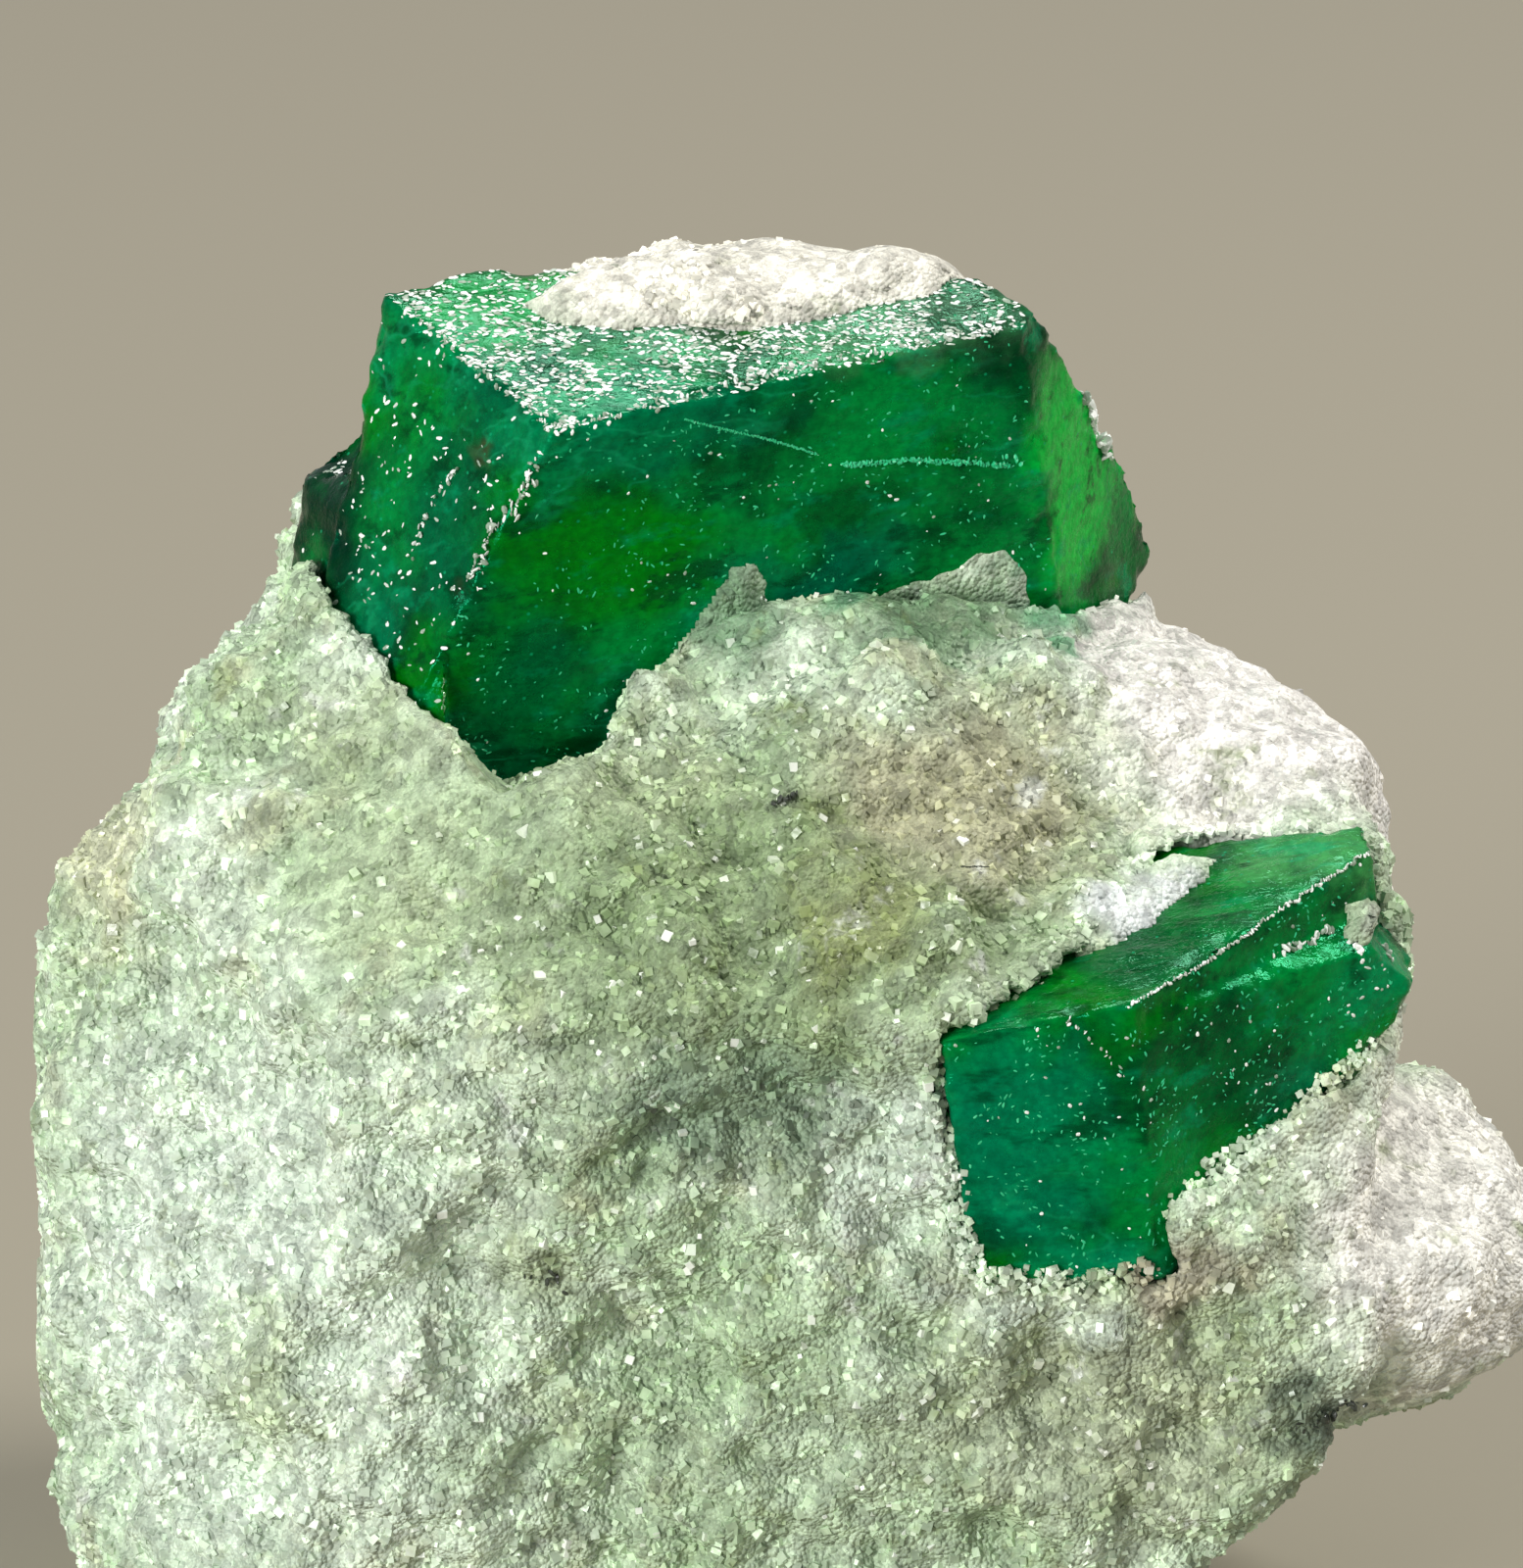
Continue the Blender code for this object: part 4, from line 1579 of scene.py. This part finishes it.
CLUMP_OUTLINE = (
    (4.5, -5.9), (5.4, -5.5), (5.9, -5.1), (6.2, -4.6), (6.7, -4.2), (7.0, -3.5),
    (6.2, -3.1), (5.0, -3.9), (4.3, -5.2),
)
STEP_OUTLINE = (
    (8.85, 13.85), (8.85, 14.45), (9.3, 14.5), (9.6, 14.2), (9.55, 13.7), (9.2, 13.65),
)


LARGE_DUSTINGS = (
    Dusting((0.0, -0.37, 0.93), 24.0, 0.5,
            Scatter("large_top_scales", 75.0, 0.04, 0.12, (1.7, 0.8, 0.3), sunk=0.0, seed=7,
                    flat_on_face=True, tilt=0.5, swing=0.45)),
    Dusting((-0.66, -0.68, 0.31), 14.0, 1.0,
            Scatter("large_left_specks", 8.0, 0.03, 0.10, (1.8, 0.8, 0.3), sunk=0.0, seed=9,
                    flat_on_face=True, tilt=0.4)),
    Dusting((0.34, -0.92, -0.19), 14.0, 1.0,
            Scatter("large_front_flecks", 9.0, 0.02, 0.06, (2.2, 0.8, 0.3), sunk=0.0, seed=14,
                    flat_on_face=True, tilt=0.4), Trim.FLECK),
    Dusting((0.34, -0.92, -0.19), 14.0, 1.0,
            Scatter("large_front_specks", 1.2, 0.03, 0.08, (1.3, 0.9, 0.4), sunk=0.0, seed=11,
                    flat_on_face=True, tilt=0.4)),
)
SMALL_DUSTINGS = (
    Dusting((0.3, -0.95, -0.05), 30.0, 1.0,
            Scatter("small_front_specks", 2.4, 0.03, 0.08, (1.3, 0.9, 0.4), sunk=0.0, seed=12,
                    flat_on_face=True, tilt=0.4)),
    Dusting((0.3, -0.95, -0.05), 30.0, 1.0,
            Scatter("small_front_flecks", 16.0, 0.02, 0.06, (2.2, 0.8, 0.3), sunk=0.0, seed=13,
                    flat_on_face=True, tilt=0.4), Trim.FLECK),
)
LARGE_VEILS = tuple(
    Veil(centre, facing, width,
         Scatter(f"large_veil_{index + 1}", 30.0, 0.05, 0.16, (1.6, 1.0, 0.15), sunk=0.0,
                 seed=60 + index, flat_on_face=True, tilt=0.6, blocks=True))
    for index, (centre, facing, width) in enumerate((
        ((-2.0, 0.6, 19.6), (0.5, -1.0, 0.3), 6.0),
        ((1.5, 1.6, 20.2), (0.2, -1.0, -0.5), 6.0),
        ((-4.2, 0.4, 18.6), (-0.5, -1.0, 0.2), 5.0),
        ((3.0, 2.0, 19.6), (0.9, -0.8, 0.4), 5.0),
    ))
)
SMALL_VEILS = tuple(
    Veil(centre, facing, 4.0,
         Scatter(f"small_veil_{index + 1}", 34.0, 0.05, 0.14, (1.6, 1.0, 0.15), sunk=0.0,
                 seed=70 + index, flat_on_face=True, tilt=0.6, blocks=True))
    for index, (centre, facing) in enumerate((
        ((4.6, -6.2, 11.6), (0.2, -1.0, 0.2)),
        ((7.6, -4.8, 12.6), (0.6, -0.9, 0.3)),
    ))
)
LARGE_SEAMS = (
    Seam("large_rim_seam", ((-6.5, 0.6, 23.0), (-3.93, -2.32, 21.8), (-0.2, -0.84, 22.4),
                            (3.7, 0.3, 22.8)), 0.045, 0.03, 0.09, 0.09, seed=2),
    Seam("left_streak_1", ((-5.54, -1.22, 20.87), (-5.87, -1.11, 20.41), (-6.12, -1.1, 19.9),
                           (-6.4, -1.1, 19.2)), 0.045, 0.03, 0.09, 0.08, seed=3),
    Seam("left_streak_2", ((-4.25, -2.25, 21.34), (-4.42, -2.28, 20.85), (-4.7, -2.26, 20.33),
                           (-5.0, -2.1, 20.05), (-5.37, -2.24, 19.0)), 0.03, 0.03, 0.12, 0.12,
         seed=4),
    Seam("front_crack", ((-1.83, -1.55, 21.75), (-0.38, -0.91, 21.2), (0.4, -0.55, 20.85)),
         0.010, 0.012, 0.045, 0.012, seed=5, trim=Trim.FLECK),
    Seam("front_ridge", ((0.76, -0.4, 20.65), (1.9, 0.04, 20.6), (2.88, 0.43, 20.44),
                         (3.62, 0.74, 20.3)), 0.010, 0.02, 0.085, 0.03, seed=15, trim=Trim.FLECK),
    Seam("ridge_tip", ((3.2, 0.6, 20.3), (3.5, 0.7, 20.5), (3.75, 0.78, 20.3)), 0.05, 0.04,
         0.12, 0.09, seed=16, trim=Trim.FLECK),
    Seam("right_rim_seam", ((5.2, 2.5, 21.2), (5.5, 2.7, 20.5), (5.75, 2.9, 19.8)), 0.04, 0.08,
         0.22, 0.09, seed=6),
)
SMALL_SEAMS = (
    Seam("small_rim_seam", ((5.32, -7.53, 13.67), (5.77, -7.18, 13.8), (6.5, -6.57, 14.0),
                            (7.24, -5.95, 14.3), (7.91, -5.38, 14.62), (8.64, -4.77, 14.9),
                            (9.4, -4.1, 15.2)), 0.04, 0.03, 0.08, 0.02, seed=2),
    Seam("small_slash", ((4.34, -7.55, 13.44), (4.82, -7.49, 13.0), (5.3, -7.42, 12.39)), 0.06,
         0.03, 0.07, 0.05, seed=3),
    Seam("step_bits_1", ((7.74, -5.53, 13.85), (8.33, -5.04, 13.9), (8.8, -4.7, 14.05)), 0.06,
         0.06, 0.14, 0.06, seed=4),
    Seam("step_bits_2", ((9.06, -4.84, 13.76), (9.31, -4.81, 13.4)), 0.05, 0.07, 0.17, 0.07,
         seed=5),
    Seam("step_bits_3", ((9.62, -4.11, 13.51), (9.82, -4.28, 13.22)), 0.05, 0.07, 0.16, 0.07,
         seed=6),
)


def build_rock(box: tuple[Vector, Vector], crystals: list[Crystal]) -> None:
    """Builds the rock and the tongues of it that climb over the crystals.

    Args:
        box: the box that the whole part stays in.
        crystals: the large and the small crystal, already built.
    """
    large, small = crystals
    rock, grain = SugaryRock().material(), SugarGrain().material()
    stone = Stone(*box, [crystal.tree for crystal in crystals])
    stone.build()
    surface, dark = tree_of(stone.skin), DarkMineral().material()
    stone.dress(rock, grain)
    for mark in MARKS:
        mark.lay(surface, dark, box)
    for contact in CONTACTS:
        contact.lay(small.tree, grain, box)
    crusts = (
        Crust("rock_spike", SPIKE_OUTLINE, large.tree),
        Crust("rock_film", FILM_OUTLINE, large.tree, thickness=0.10, seed=8, grains=10.0),
        Crust("white_clump", CLUMP_OUTLINE, small.tree, thickness=0.34, seed=3, from_above=True),
        Crust("step_clump", STEP_OUTLINE, small.tree, thickness=0.30, seed=4),
        Crust("cap_tongue", CAP_OUTLINE, large.tree, thickness=0.34, rough=0.12, grains=2.0, seed=6,
              from_above=True),
    )
    for crust in crusts:
        crust.build()
        with_mask(crust.mesh, "sugar", np.ones(len(crust.mesh.vertices)))
        sugar = Scatter(crust.name + "_sugar", crust.grains, 0.05, 0.13, sunk=0.3, seed=crust.seed)
        grains = sugar.strew(crust.mesh.copy(), grain)
        kept_inside(grains, *box)
        as_piece(sugar.name, grains, grain)
        kept_inside(crust.mesh, *box)
        crust.dress(rock)


def main() -> None:
    """Builds the object piece by piece."""
    logging.basicConfig(level=logging.INFO, format="%(name)s: %(message)s", force=True)
    low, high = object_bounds()
    box = (low, high)
    trims = {Trim.MICA: MicaFlake().material(), Trim.FLECK: InnerFleck().material()}
    large = Crystal(
        "large_crystal", "large_emerald", EmeraldGlass("emerald_large", LARGE_TINTS_AND_PAINTED_LIGHT), *box,
        dents=(Dent((-7.7, 1.2, 20.6), 1.1, 0.35),), dustings=LARGE_DUSTINGS, veils=LARGE_VEILS,
        seams=LARGE_SEAMS,
    )
    small = Crystal(
        "small_crystal", "small_emerald", EmeraldGlass("emerald_small", SMALL_ZONES), *box,
        dustings=SMALL_DUSTINGS, veils=SMALL_VEILS, seams=SMALL_SEAMS, seed=4,
    )
    for crystal in (large, small):
        crystal.build()
        crystal.dress(trims)
    build_rock(box, [large, small])
    Studio().build()


if __name__ == "__main__":
    main()
